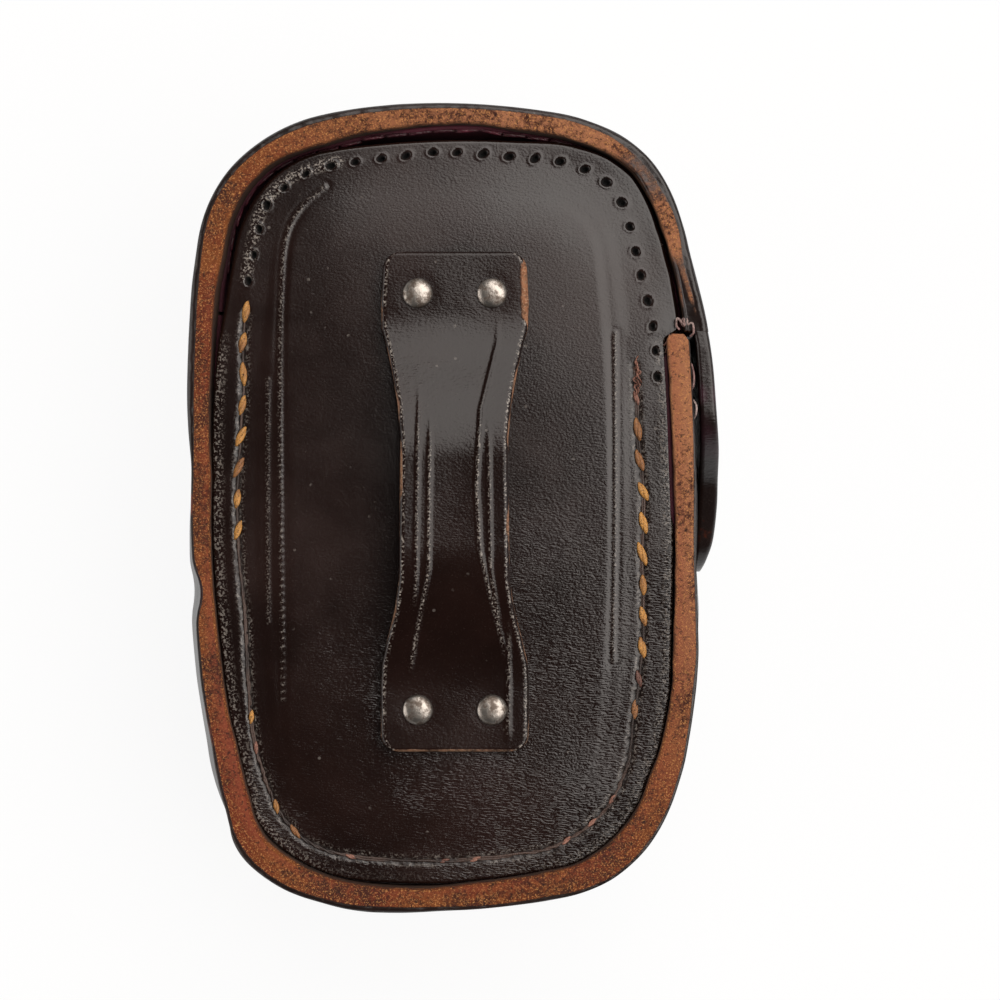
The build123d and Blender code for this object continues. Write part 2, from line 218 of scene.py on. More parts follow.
def inside(inset: np.ndarray) -> np.ndarray:
    """The outline's points, each moved inwards by its own distance."""
    return OUTLINE - OUTWARD * inset[:, None]


def along_line(points: np.ndarray, pitch: float,
               closed: bool = True) -> tuple[np.ndarray, np.ndarray]:
    """Even places along a line, with the direction of the line there.

    Args:
        points: Rows of the line.
        pitch: Wanted distance between places.
        closed: True if the line comes back to its start.

    Returns:
        Places and unit directions.
    """
    line = np.vstack([points, points[:1]]) if closed else points
    far = way_along(line)
    at = np.linspace(0, far[-1], max(2, round(far[-1] / pitch)), endpoint=not closed)

    def spots(ways: np.ndarray) -> np.ndarray:
        return np.stack([np.interp(ways, far, column) for column in line.T], axis=1)

    way = spots(at + 0.2) - spots(at - 0.2)
    return spots(at), way / np.linalg.norm(way, axis=1)[:, None]


def spline(knots: list[tuple], count: int) -> np.ndarray:
    """Smooth line through a few knots.

    Args:
        knots: Points in order.
        count: Points wanted.

    Returns:
        Rows of the line.
    """
    p = np.array(knots, float)
    tangent = np.gradient(p, axis=0)
    seg = np.linspace(0, len(p) - 1 - 1e-9, count)
    i = seg.astype(int)
    t = (seg - i)[:, None]
    a, b = 2 * t**3 - 3 * t**2 + 1, t**3 - 2 * t**2 + t
    return a * p[i] + b * tangent[i] + (1 - a) * p[i + 1] + (t**3 - t**2) * tangent[i + 1]


# ---- meshes ----


class Maker:
    """Collects grids of points in millimetres and turns them into one mesh in metres."""

    def __init__(self) -> None:
        self.points: list[np.ndarray] = []
        self.faces: list[list[int]] = []
        self.layers: dict[Layer, list[np.ndarray]] = {}
        self.count = 0

    def _push(self, points: np.ndarray, layers: dict) -> int:
        start, self.count = self.count, self.count + len(points)
        for layer, values in layers.items():
            self.layers.setdefault(layer, [np.zeros(start)] if start else []).append(
                np.broadcast_to(values, (len(points),)).ravel())
        for layer, chunks in self.layers.items():
            if layer not in layers:
                chunks.append(np.zeros(len(points)))
        self.points.append(points)
        return start

    def grid(self, points: np.ndarray, **layers) -> None:
        """Adds a grid of quads whose rows close on themselves, with a fan over each end.

        Args:
            points: Array of rows by columns by X, Y, Z.
            **layers: Arrays of rows by columns, by name of the layer.
        """
        rows, cols = points.shape[:2]
        named = {Layer(k): np.broadcast_to(v, (rows, cols)) for k, v in layers.items()}
        first = self._push(points.reshape(-1, 3), {k: v.ravel() for k, v in named.items()})
        index = first + np.arange(rows * cols).reshape(rows, cols)
        index = np.hstack([index, index[:, :1]])
        quads = np.stack([index[:-1, :-1], index[:-1, 1:], index[1:, 1:], index[1:, :-1]], axis=-1)
        self.faces += quads.reshape(-1, 4).tolist()
        for row, turn in ((0, -1), (rows - 1, 1)):
            hub = self._push(points[row].mean(axis=0)[None],
                             {k: v[row, :1] for k, v in named.items()})
            self.faces += [[a, b, hub] if turn > 0 else [b, a, hub]
                           for a, b in zip(index[row, :-1].tolist(), index[row, 1:].tolist())]

    def tube(self, line: np.ndarray, radius, sides: int = 8) -> None:
        """Adds a tube round a line.

        Args:
            line: Rows of the middle line.
            radius: Radius, or one for each row.
            sides: Points round the tube.
        """
        way = np.gradient(line, axis=0)
        way /= np.linalg.norm(way, axis=1)[:, None]
        across = np.cross(way[0], (0.0, 0.0, 1.0) if abs(way[0, 2]) < 0.9 else (1.0, 0.0, 0.0))
        angle = np.linspace(0, 2 * pi, sides, endpoint=False)
        radius = np.broadcast_to(np.asarray(radius, float), (len(line),))
        rows = []
        for point, axis, size in zip(line, way, radius):
            across = across - axis * (across @ axis)
            across /= np.linalg.norm(across)
            other = np.cross(axis, across)
            rows.append(point + size * (np.outer(np.cos(angle), across)
                                        + np.outer(np.sin(angle), other)))
        self.grid(np.array(rows))

    def mesh(self, name: str) -> bpy.types.Mesh:
        """The collected grids as one smooth mesh in metres.

        Args:
            name: Name of the mesh.

        Returns:
            The mesh.
        """
        made = bpy.data.meshes.new(name)
        made.from_pydata((np.vstack(self.points) * MM).tolist(), [], self.faces)
        for layer, chunks in self.layers.items():
            made.attributes.new(layer.value, "FLOAT", "POINT").data.foreach_set(
                "value", np.concatenate(chunks).astype(np.float32))
        made.shade_smooth()
        return made

    def piece(self, name: str, material: Material) -> Thing:
        """The collected grids as an object of the scene.

        Args:
            name: Name of the object.
            material: Its material.

        Returns:
            The object.
        """
        return add_piece(name, self.mesh(name), material)


def add_piece(name: str, mesh: bpy.types.Mesh, *materials: Material) -> Thing:
    """Puts a mesh into the scene.

    Args:
        name: Name of the object.
        mesh: Its mesh.
        *materials: Its materials, in order.

    Returns:
        The object, at the origin.
    """
    made = bpy.data.objects.new(name, mesh)
    bpy.context.scene.collection.objects.link(made)
    for material in materials:
        mesh.materials.append(material)
    return made


def turned(profile: list[tuple[float, float]], sides: int = 40) -> np.ndarray:
    """Grid of a turned form about Z.

    Args:
        profile: Pairs of radius and height.
        sides: Points round the axis.

    Returns:
        Grid of rows by sides.
    """
    angle = np.linspace(0, 2 * pi, sides, endpoint=False)
    return np.array([np.stack([r * np.cos(angle), r * np.sin(angle), np.full(sides, z)], axis=1)
                     for r, z in profile])


class Graph:
    """A node tree with short calls to add nodes and join them."""

    def __init__(self, tree: bpy.types.NodeTree) -> None:
        self.tree = tree

    def join(self, value, socket: Socket) -> None:
        """Links a socket into an input, or gives the input a value."""
        if isinstance(value, Socket):
            self.tree.links.new(value, socket)
        else:
            socket.default_value = value

    def node(self, kind: str, inputs: dict | None = None, **settings) -> bpy.types.Node:
        """Adds a node.

        Args:
            kind: Blender's name of the node's type.
            inputs: Value or socket for each input, by name or number.
            **settings: Attributes of the node.

        Returns:
            The node.
        """
        made = self.tree.nodes.new(kind)
        for key, value in settings.items():
            setattr(made, key, value)
        for key, value in (inputs or {}).items():
            self.join(value, made.inputs[key])
        return made

    def math(self, way: str, *values, clamp: bool = False) -> Socket:
        """Adds a Math node and returns its output."""
        return self.node("ShaderNodeMath", dict(enumerate(values)), operation=way,
                         use_clamp=clamp).outputs[0]

    def times(self, a, b, clamp: bool = False) -> Socket:
        """Product of two numbers."""
        return self.math("MULTIPLY", a, b, clamp=clamp)

    def plus(self, a, b, clamp: bool = False) -> Socket:
        """Sum of two numbers."""
        return self.math("ADD", a, b, clamp=clamp)

    def less(self, a, b, clamp: bool = False) -> Socket:
        """Difference of two numbers."""
        return self.math("SUBTRACT", a, b, clamp=clamp)

    def step(self, value, low: float, high: float, to_low: float = 0.0, to_high: float = 1.0):
        """Smooth step of a value from one range to another."""
        return self.node("ShaderNodeMapRange", {"Value": value, "From Min": low, "From Max": high,
                                                "To Min": to_low, "To Max": to_high},
                         interpolation_type="SMOOTHSTEP").outputs["Result"]

    def mix(self, factor, a, b, way: str = "MIX") -> Socket:
        """Mixes two colours."""
        made = self.node("ShaderNodeMix", data_type="RGBA", blend_type=way)
        for key, value in (("Factor_Float", factor), ("A_Color", a), ("B_Color", b)):
            self.join((*value, 1.0) if isinstance(value, tuple) else value,
                      next(s for s in made.inputs if s.identifier == key))
        return next(s for s in made.outputs if s.identifier == "Result_Color")

    def vector(self, way: str, a, b) -> Socket:
        """Adds a Vector Math node of two vectors, or of a vector and a scale."""
        made = self.node("ShaderNodeVectorMath", {0: a, "Scale" if way == "SCALE" else 1: b},
                         operation=way)
        return made.outputs["Value" if way == "DOT_PRODUCT" else "Vector"]

    def noise(self, where, scale: float, detail: float = 3.0, rough: float = 0.55,
              output: str = "Fac") -> Socket:
        """Noise value at a place."""
        return self.node("ShaderNodeTexNoise", {"Vector": where, "Scale": scale, "Detail": detail,
                                                "Roughness": rough}).outputs[output]

    def cells(self, where, scale: float, feature: str = "F1") -> Socket:
        """Distance output of a cell pattern."""
        return self.node("ShaderNodeTexVoronoi", {"Vector": where, "Scale": scale},
                         feature=feature).outputs["Distance"]

    def layer(self, layer: Layer) -> Socket:
        """Value of a point attribute."""
        return self.node("ShaderNodeAttribute", attribute_name=layer.value).outputs["Fac"]


class Repeat:
    """Geometry Nodes that set one mesh on many places and come out as a plain mesh."""

    INPUTS = {"Places": "Geometry", "Unit": "Object", "Size spread": "Float", "Seed": "Int",
              "Finish": "Material"}

    def __init__(self, unit: Thing, material: Material) -> None:
        self.unit = unit
        self.material = material
        self.tree = bpy.data.node_groups.new(f"repeat_{unit.name}", "GeometryNodeTree")
        face = self.tree.interface
        self.sockets = {name: face.new_socket(name, in_out="INPUT",
                                              socket_type=f"NodeSocket{kind}").identifier
                        for name, kind in self.INPUTS.items()}
        face.new_socket("Geometry", in_out="OUTPUT", socket_type="NodeSocketGeometry")
        self._fill()

    def _fill(self) -> None:
        """Adds the nodes: the unit on each place, turned and sized by the place's attributes."""
        g = Graph(self.tree)
        start = g.node("NodeGroupInput").outputs
        turn, size = (g.node("GeometryNodeInputNamedAttribute", {"Name": name},
                             data_type="FLOAT_VECTOR") for name in ("turn", "size"))
        chance = g.node("FunctionNodeRandomValue", {"Seed": start["Seed"]}, data_type="FLOAT")
        for name, value in (("Min", g.less(1.0, start["Size spread"])),
                            ("Max", g.plus(1.0, start["Size spread"]))):
            g.join(value, self._socket(chance.inputs, name))
        points = g.node("GeometryNodeMeshToPoints", {"Mesh": start["Places"]})
        info = g.node("GeometryNodeObjectInfo", {"Object": start["Unit"]})
        place = g.node("GeometryNodeInstanceOnPoints", {
            "Points": points.outputs["Points"], "Instance": info.outputs["Geometry"],
            "Rotation": self._socket(turn.outputs),
            "Scale": g.vector("SCALE", self._socket(size.outputs), self._socket(chance.outputs))})
        real = g.node("GeometryNodeRealizeInstances", {"Geometry": place.outputs["Instances"]})
        paint = g.node("GeometryNodeSetMaterial", {"Geometry": real.outputs["Geometry"],
                                                   "Material": start["Finish"]})
        g.node("NodeGroupOutput", {"Geometry": paint.outputs["Geometry"]})

    @staticmethod
    def _socket(sockets, name: str | None = None) -> Socket:
        """The one of several sockets of a name that the node's type has switched on."""
        return next(s for s in sockets if s.enabled and name in (None, s.name))

    def make(self, name: str, places: np.ndarray, turns: np.ndarray, sizes: np.ndarray,
             spread: float = 0.0, seed: int = 1) -> Thing:
        """Sets the unit on the places, and removes it, as it isn't a piece of the object.

        Args:
            name: Name of the piece.
            places: Rows X, Y, Z in millimetres.
            turns: Euler angles for each place.
            sizes: Scale for each place.
            spread: Share by which the sizes vary at random.
            seed: Seed of that spread.

        Returns:
            The piece, as a plain mesh.
        """
        base = bpy.data.meshes.new(f"{name}_places")
        base.from_pydata((np.asarray(places) * MM).tolist(), [], [])
        for label, values in (("turn", turns), ("size", sizes)):
            values = np.broadcast_to(np.asarray(values, np.float32), (len(places), 3))
            base.attributes.new(label, "FLOAT_VECTOR", "POINT").data.foreach_set(
                "vector", np.ascontiguousarray(values).ravel())
        made = add_piece(name, base)
        rule = made.modifiers.new("repeat", "NODES")
        rule.node_group = self.tree
        for key, value in (("Unit", self.unit), ("Size spread", spread), ("Seed", seed),
                           ("Finish", self.material)):
            rule[self.sockets[key]] = value
        self.unit.hide_render = False
        bpy.context.view_layer.update()
        whole = bpy.data.meshes.new_from_object(
            made.evaluated_get(bpy.context.evaluated_depsgraph_get()))
        made.modifiers.remove(rule)
        made.data = whole
        whole.shade_smooth()
        bpy.data.objects.remove(self.unit)
        return made


# ---- materials ----


def shared_group(name: str, inputs: list[tuple[str, float]], outputs: list[str]):
    """Makes an empty shader node group of numbers.

    Args:
        name: Name of the group.
        inputs: Name and default of each number that goes in, after the place.
        outputs: Name of each number that comes out.

    Returns:
        The group's graph, the sockets of its input and those of its output.
    """
    tree = bpy.data.node_groups.new(name, "ShaderNodeTree")
    tree.interface.new_socket("Place", in_out="INPUT", socket_type="NodeSocketVector")
    for label, value in inputs:
        made = tree.interface.new_socket(label, in_out="INPUT", socket_type="NodeSocketFloat")
        made.default_value = value
    for label in outputs:
        tree.interface.new_socket(label, in_out="OUTPUT", socket_type="NodeSocketFloat")
    start, end = tree.nodes.new("NodeGroupInput"), tree.nodes.new("NodeGroupOutput")
    return Graph(tree), start.outputs, end.inputs


class Effects:
    """Shared node groups: leather grain, cut fibres, ragged edges and dust."""

    def __init__(self) -> None:
        self.grain = self._grain()
        self.fibre = self._fibre()
        self.ragged = self._ragged()
        self.dust = self._dust()

    @staticmethod
    def _grain() -> bpy.types.NodeTree:
        """Pebbles and fine cross wrinkles of leather: Height, and GlintSpeck, a mask of the pebble
        tops for painted glint specks.
        """
        g, start, end = shared_group("leather_grain", [("Wrinkle", 0.5), ("Size", 1.0)],
                                     ["Height", "GlintSpeck"])
        place = start["Place"]
        bend = g.noise(place, 260.0, 2.0, 0.5, "Color")
        moved = g.vector("ADD", place, g.vector("MULTIPLY", bend, (0.0011, 0.0011, 0.0011)))
        sized = g.vector("SCALE", moved, start["Size"])
        pebble = g.cells(g.vector("MULTIPLY", sized, (1.0, 1.35, 1.0)), 2300.0, "SMOOTH_F1")
        fold = g.cells(g.vector("MULTIPLY", sized, (0.34, 1.55, 1.0)), 1500.0, "DISTANCE_TO_EDGE")
        creased = g.less(1.0, g.step(fold, 0.0, 0.32), clamp=True)
        patch = g.step(g.noise(place, 55.0, 2.0), 0.35, 0.65, 0.35, 1.0)
        height = g.less(g.less(0.7, g.times(pebble, 0.75)),
                        g.times(creased, g.times(start["Wrinkle"], patch)))
        fine = g.noise(sized, 5200.0, 2.0)
        g.join(g.plus(height, g.times(fine, 0.25)), end["Height"])
        g.join(g.times(g.step(pebble, 0.34, 0.12), g.step(fine, 0.5, 0.72)), end["GlintSpeck"])
        return g.tree

    @staticmethod
    def _fibre() -> bpy.types.NodeTree:
        """Cut leather: Tone for its patchy colour, Glint for pale fibre ends, Height."""
        g, start, end = shared_group("cut_fibres", [], ["Tone", "Glint", "Height"])
        place = start["Place"]
        wide = g.noise(place, 110.0, 3.0, 0.6)
        near = g.noise(place, 1500.0, 3.0, 0.7)
        tiny = g.noise(place, 4300.0, 3.0, 0.75)
        g.join(g.step(g.plus(g.times(wide, 0.5), g.times(near, 0.5)), 0.37, 0.54), end["Tone"])
        g.join(g.step(tiny, 0.52, 0.64), end["Glint"])
        g.join(g.plus(g.times(near, 0.6), g.times(tiny, 0.6)), end["Height"])
        return g.tree

    @staticmethod
    def _ragged() -> bpy.types.NodeTree:
        """Turns a soft layer into a mask with a ragged border: Mask."""
        g, start, end = shared_group("ragged_border", [("Layer", 0.0), ("Reach", 0.5)], ["Mask"])
        rough = g.plus(g.times(g.noise(start["Place"], 160.0, 2.0), 0.6),
                       g.times(g.noise(start["Place"], 1300.0, 4.0, 0.7), 0.4))
        moved = g.times(g.less(rough, 0.5), start["Reach"])
        g.join(g.step(g.plus(start["Layer"], moved), 0.38, 0.62), end["Mask"])
        return g.tree

    @staticmethod
    def _dust() -> bpy.types.NodeTree:
        """Sparse pale specks: Mask."""
        g, start, end = shared_group("dust_specks", [("Amount", 0.5)], ["Mask"])
        dots = g.step(g.cells(start["Place"], 620.0), 0.17, 0.1)
        some = g.step(g.noise(start["Place"], 420.0, 2.0), 0.58, 0.68)
        g.join(g.times(g.times(dots, some), start["Amount"]), end["Mask"])
        return g.tree


class Finish:
    """A material under construction, with its Principled shader."""

    def __init__(self, name: str) -> None:
        self.material = bpy.data.materials.new(name)
        self.material.use_nodes = True
        self.g = Graph(self.material.node_tree)
        self.shader = self.material.node_tree.nodes["Principled BSDF"]
        self.place = self.g.node("ShaderNodeTexCoord").outputs["Object"]

    def noise(self, scale: float, detail: float = 3.0, rough: float = 0.55) -> Socket:
        """Noise value at the object's place."""
        return self.g.noise(self.place, scale, detail, rough)

    def use(self, group: bpy.types.NodeTree, **inputs) -> bpy.types.NodeOutputs:
        """Adds a shared group at the object's place and returns its outputs."""
        return self.g.node("ShaderNodeGroup", {"Place": self.place, **inputs},
                           node_tree=group).outputs

    def bump(self, height, depth: float) -> Socket:
        """Adds a bump of a depth in millimetres."""
        return self.g.node("ShaderNodeBump", {"Height": height, "Distance": depth * MM,
                                              "Strength": 1.0}).outputs["Normal"]

    def set(self, **sockets) -> Material:
        """Links or sets the shader's inputs.

        Args:
            **sockets: Socket or value, by the input's name with lines for spaces.

        Returns:
            The finished material.
        """
        for key, value in sockets.items():
            self.g.join(value, self.shader.inputs[key.replace("_", " ")])
        return self.material


@dataclass(frozen=True)
class LeatherFinish:
    """Smooth dyed leather with grain, painted glints, dust, and raw fibre where it is cut."""

    name: str
    dark: Triple = (0.0075, 0.0030, 0.0022)
    warm: Triple = (0.0150, 0.0058, 0.0042)
    # painted glint: colour of the specks on the pebble tops, standing in for highlights
    speck_glint: Triple = (0.06, 0.044, 0.037)
    # painted glint: colour of the sparks where the painted-glint layer is set
    pale: Triple = (0.40, 0.36, 0.32)
    blush: Triple = (0.055, 0.014, 0.028)
    raw_deep: Triple = (0.045, 0.008, 0.0020)
    raw_mid: Triple = (0.140, 0.022, 0.0035)
    raw_ochre: Triple = (0.175, 0.045, 0.007)
    # painted light: lighter cut colour on the upper-right side, where the lamp is
    raw_painted_light: Triple = (0.36, 0.150, 0.072)
    raw_pale: Triple = (0.60, 0.27, 0.085)
    roughness: float = 0.42
    wrinkle: float = 0.5
    grain_depth: float = 0.05
    grain_size: float = 1.0
    wrinkle_drift: float = 0.0
    dust: float = 0.5
    gloss: float = 0.5
    reach: float = 0.55

    def build(self, effects: Effects) -> Material:
        """Builds the material.

        Args:
            effects: The shared node groups.

        Returns:
            The material.
        """
        f = Finish(self.name)
        g = f.g
        slant = g.vector("DOT_PRODUCT", f.place, (0.6, -1.0, 0.0))
        folds = g.step(slant, -0.012, 0.042, self.wrinkle - self.wrinkle_drift,
                       self.wrinkle + self.wrinkle_drift)
        grain = f.use(effects.grain, Wrinkle=folds, Size=self.grain_size)
        fibre = f.use(effects.fibre)
        raw = f.use(effects.ragged, Layer=g.layer(Layer.RAW), Reach=self.reach)["Mask"]
        flesh, shaded, flush = (g.layer(k) for k in (Layer.FLESH, Layer.SHADE, Layer.BLUSH))
        cloudy = g.step(f.noise(42.0, 4.0, 0.6), 0.35, 0.7)
        skin = self._skin(f, effects, cloudy, grain["GlintSpeck"])
        colour = g.mix(flesh, g.mix(flush, skin, self.blush),
                       g.mix(fibre["Tone"], (0.075, 0.03, 0.015), (0.16, 0.07, 0.035)))
        colour = g.mix(raw, colour, self._cut(f, fibre, flush))
        shade = g.less(1.0, shaded, clamp=True)
        colour = g.mix(1.0, colour, g.node("ShaderNodeCombineColor",
                                           {0: shade, 1: shade, 2: shade}).outputs[0], "MULTIPLY")
        bare = g.math("MAXIMUM", g.math("MAXIMUM", raw, flesh), shaded, clamp=True)
        rough = g.plus(g.plus(self.roughness, g.times(cloudy, 0.08)),
                       g.times(bare, 0.9 - self.roughness), clamp=True)
        height = g.plus(g.times(grain["Height"], g.less(1.0, bare, clamp=True)),
                        g.times(g.times(fibre["Height"], raw), 3.2))
        height = g.times(height, g.plus(g.plus(0.6, folds), raw))
        return f.set(Base_Color=colour, Roughness=rough, Specular_IOR_Level=self.gloss,
                     Normal=f.bump(height, self.grain_depth))

    def _skin(self, f: Finish, effects: Effects, cloudy, glint_speck) -> Socket:
        """Colour of the dyed side: clouds, painted glint specks and sparks, worn patches and dust.
        """
        g = f.g
        worn = f.use(effects.ragged, Layer=g.layer(Layer.WORN), Reach=1.3)["Mask"]
        skin = g.mix(cloudy, self.dark, self.warm)
        # painted glint specks on the pebble tops
        skin = g.mix(g.times(glint_speck, 0.35), skin, self.speck_glint)
        skin = g.mix(g.times(worn, 0.8), skin, self.raw_mid)
        skin = g.mix(f.use(effects.dust, Amount=self.dust)["Mask"], skin, (0.45, 0.41, 0.37))
        # painted glints: pale sparks along the painted-glint layer, standing in for highlights
        painted_spark = g.step(f.noise(3300.0, 2.0, 0.6), 0.5, 0.62)
        return g.mix(g.times(painted_spark, g.layer(Layer.PAINTED_GLINT), clamp=True), skin, self.pale)

    def _cut(self, f: Finish, fibre, flush) -> Socket:
        """Colour of the cut side: patchy, painted lighter to the upper right, with fibre ends and
        pits.
        """
        g = f.g
        patchy = g.step(f.noise(62.0, 3.0, 0.6), 0.42, 0.6)
        across = g.vector("DOT_PRODUCT", f.place, (0.87, 0.5, 0.0))
        cut = g.mix(patchy, self.raw_mid, self.raw_ochre)
        # painted light: the cut is mixed towards a lighter colour on the side towards the
        # upper-right lamp
        cut = g.mix(g.step(across, 0.0, 0.034, 0.0, 0.85), cut, self.raw_painted_light)
        cut = g.mix(fibre["Tone"], self.raw_deep, cut)
        cut = g.mix(g.times(fibre["Glint"], 0.7), cut, self.raw_pale)
        red = g.mix(fibre["Tone"], (0.05, 0.006, 0.003), (0.24, 0.05, 0.022))
        pit = g.step(f.noise(2100.0, 3.0, 0.7), 0.44, 0.34)
        return g.mix(g.times(pit, 0.7), g.mix(flush, cut, red), self.dark)


@dataclass(frozen=True)
class ThreadFinish:
    """Twisted waxed thread, from bright to soiled."""

    name: str
    bright: Triple
    soiled: Triple
    dirt: Triple = (0.03, 0.014, 0.008)
    roughness: float = 0.55

    def build(self) -> Material:
        """Builds and returns the material."""
        f = Finish(self.name)
        g = f.g
        colour = g.mix(g.step(f.noise(130.0, 2.0), 0.4, 0.6), self.bright, self.soiled)
        hair = f.noise(4200.0, 3.0, 0.7)
        colour = g.mix(g.step(hair, 0.52, 0.34, 0.0, 0.7), colour, self.dirt)
        colour = g.mix(g.step(f.noise(1500.0, 2.0), 0.62, 0.74, 0.0, 0.8), colour, self.dirt)
        return f.set(Base_Color=colour, Roughness=self.roughness, Normal=f.bump(hair, 0.06))


@dataclass(frozen=True)
class MetalFinish:
    """Tarnished metal with scuffs and grime."""

    name: str
    base: Triple
    tarnish: Triple
    roughness: float = 0.34

    def build(self) -> Material:
        """Builds and returns the material."""
        f = Finish(self.name)
        g = f.g
        cloud = g.step(f.noise(900.0, 4.0, 0.65), 0.42, 0.62)
        scratch = g.noise(g.vector("MULTIPLY", f.place, (1.0, 0.12, 1.0)), 7000.0, 3.0, 0.6)
        height = g.plus(g.times(f.noise(1700.0, 3.0, 0.6), 0.8), g.times(scratch, 0.25))
        return f.set(Base_Color=g.mix(cloud, self.base, self.tarnish), Metallic=1.0,
                     Roughness=g.plus(self.roughness, g.times(cloud, 0.22)),
                     Normal=f.bump(height, 0.05))


@dataclass(frozen=True)
class PlainLeatherFinish:
    """Thin matt lining skin, or pressed board: cloudy colour over a fine tooth."""

    name: str
    dark: Triple
    pale: Triple

    def build(self) -> Material:
        """Builds and returns the material."""
        f = Finish(self.name)
        g = f.g
        cloud = g.step(f.noise(90.0, 4.0, 0.6), 0.35, 0.68)
        fine = f.noise(2600.0, 3.0, 0.65)
        colour = g.mix(g.step(fine, 0.5, 0.35, 0.0, 0.5), g.mix(cloud, self.dark, self.pale),
                       self.dark)
        return f.set(Base_Color=colour, Roughness=0.8, Normal=f.bump(fine, 0.04))


class Palette:
    """All the materials, built once."""

    def __init__(self) -> None:
        fx = Effects()
        self.shell = LeatherFinish("moulded_leather", wrinkle=0.35, roughness=0.32, dust=0.25,
                                   grain_depth=0.035).build(fx)
        self.panel = LeatherFinish("panel_leather", wrinkle=0.55, wrinkle_drift=0.45,
                                   roughness=0.16, dust=0.2, grain_depth=0.018,
                                   grain_size=1.4).build(fx)
        self.strap = LeatherFinish("strap_leather", wrinkle=0.3, roughness=0.19, dust=0.15,
                                   gloss=0.34, grain_size=1.3, grain_depth=0.026,
                                   raw_deep=(0.05, 0.022, 0.012), raw_mid=(0.22, 0.11, 0.06),
                                   raw_ochre=(0.26, 0.13, 0.08), raw_pale=(0.50, 0.34, 0.22),
                                   reach=0.8).build(fx)
        self.gold = ThreadFinish("waxed_thread", (0.56, 0.27, 0.065), (0.27, 0.115, 0.04)).build()
        self.pink = ThreadFinish("worn_thread", (0.30, 0.14, 0.10), (0.13, 0.055, 0.04)).build()
        self.soiled = ThreadFinish("soiled_thread", (0.075, 0.045, 0.035), (0.018, 0.010, 0.008),
                                   roughness=0.45).build()
        self.purple = ThreadFinish("purple_thread", (0.16, 0.028, 0.05), (0.055, 0.012, 0.02),
                                   roughness=0.35).build()
        self.white = ThreadFinish("loose_thread", (0.46, 0.37, 0.34), (0.25, 0.14, 0.13)).build()
        self.steel = MetalFinish("rivet_steel", (0.40, 0.365, 0.33), (0.15, 0.12, 0.10),
                                 roughness=0.36).build()
        self.brass = MetalFinish("snap_metal", (0.16, 0.12, 0.085), (0.085, 0.064, 0.048)).build()
        self.lining = PlainLeatherFinish("lining_leather", (0.035, 0.004, 0.010),
                                         (0.085, 0.010, 0.024)).build()
        self.board = PlainLeatherFinish("board", (0.20, 0.13, 0.07), (0.36, 0.26, 0.16)).build()


# ---- pieces ----


BY_THE_FOLD = (
    (236, 0, 0.8, 2.85, 0.15), (241, -0.25, 0.6, 2.65, 0), (248, -0.45, 0.4, 2.45, 0),
    (255, -0.6, 0.15, 2.35, 0), (260, -0.4, 0.2, 2.9, 0), (266, -0.25, 0.25, 2.88, 0))


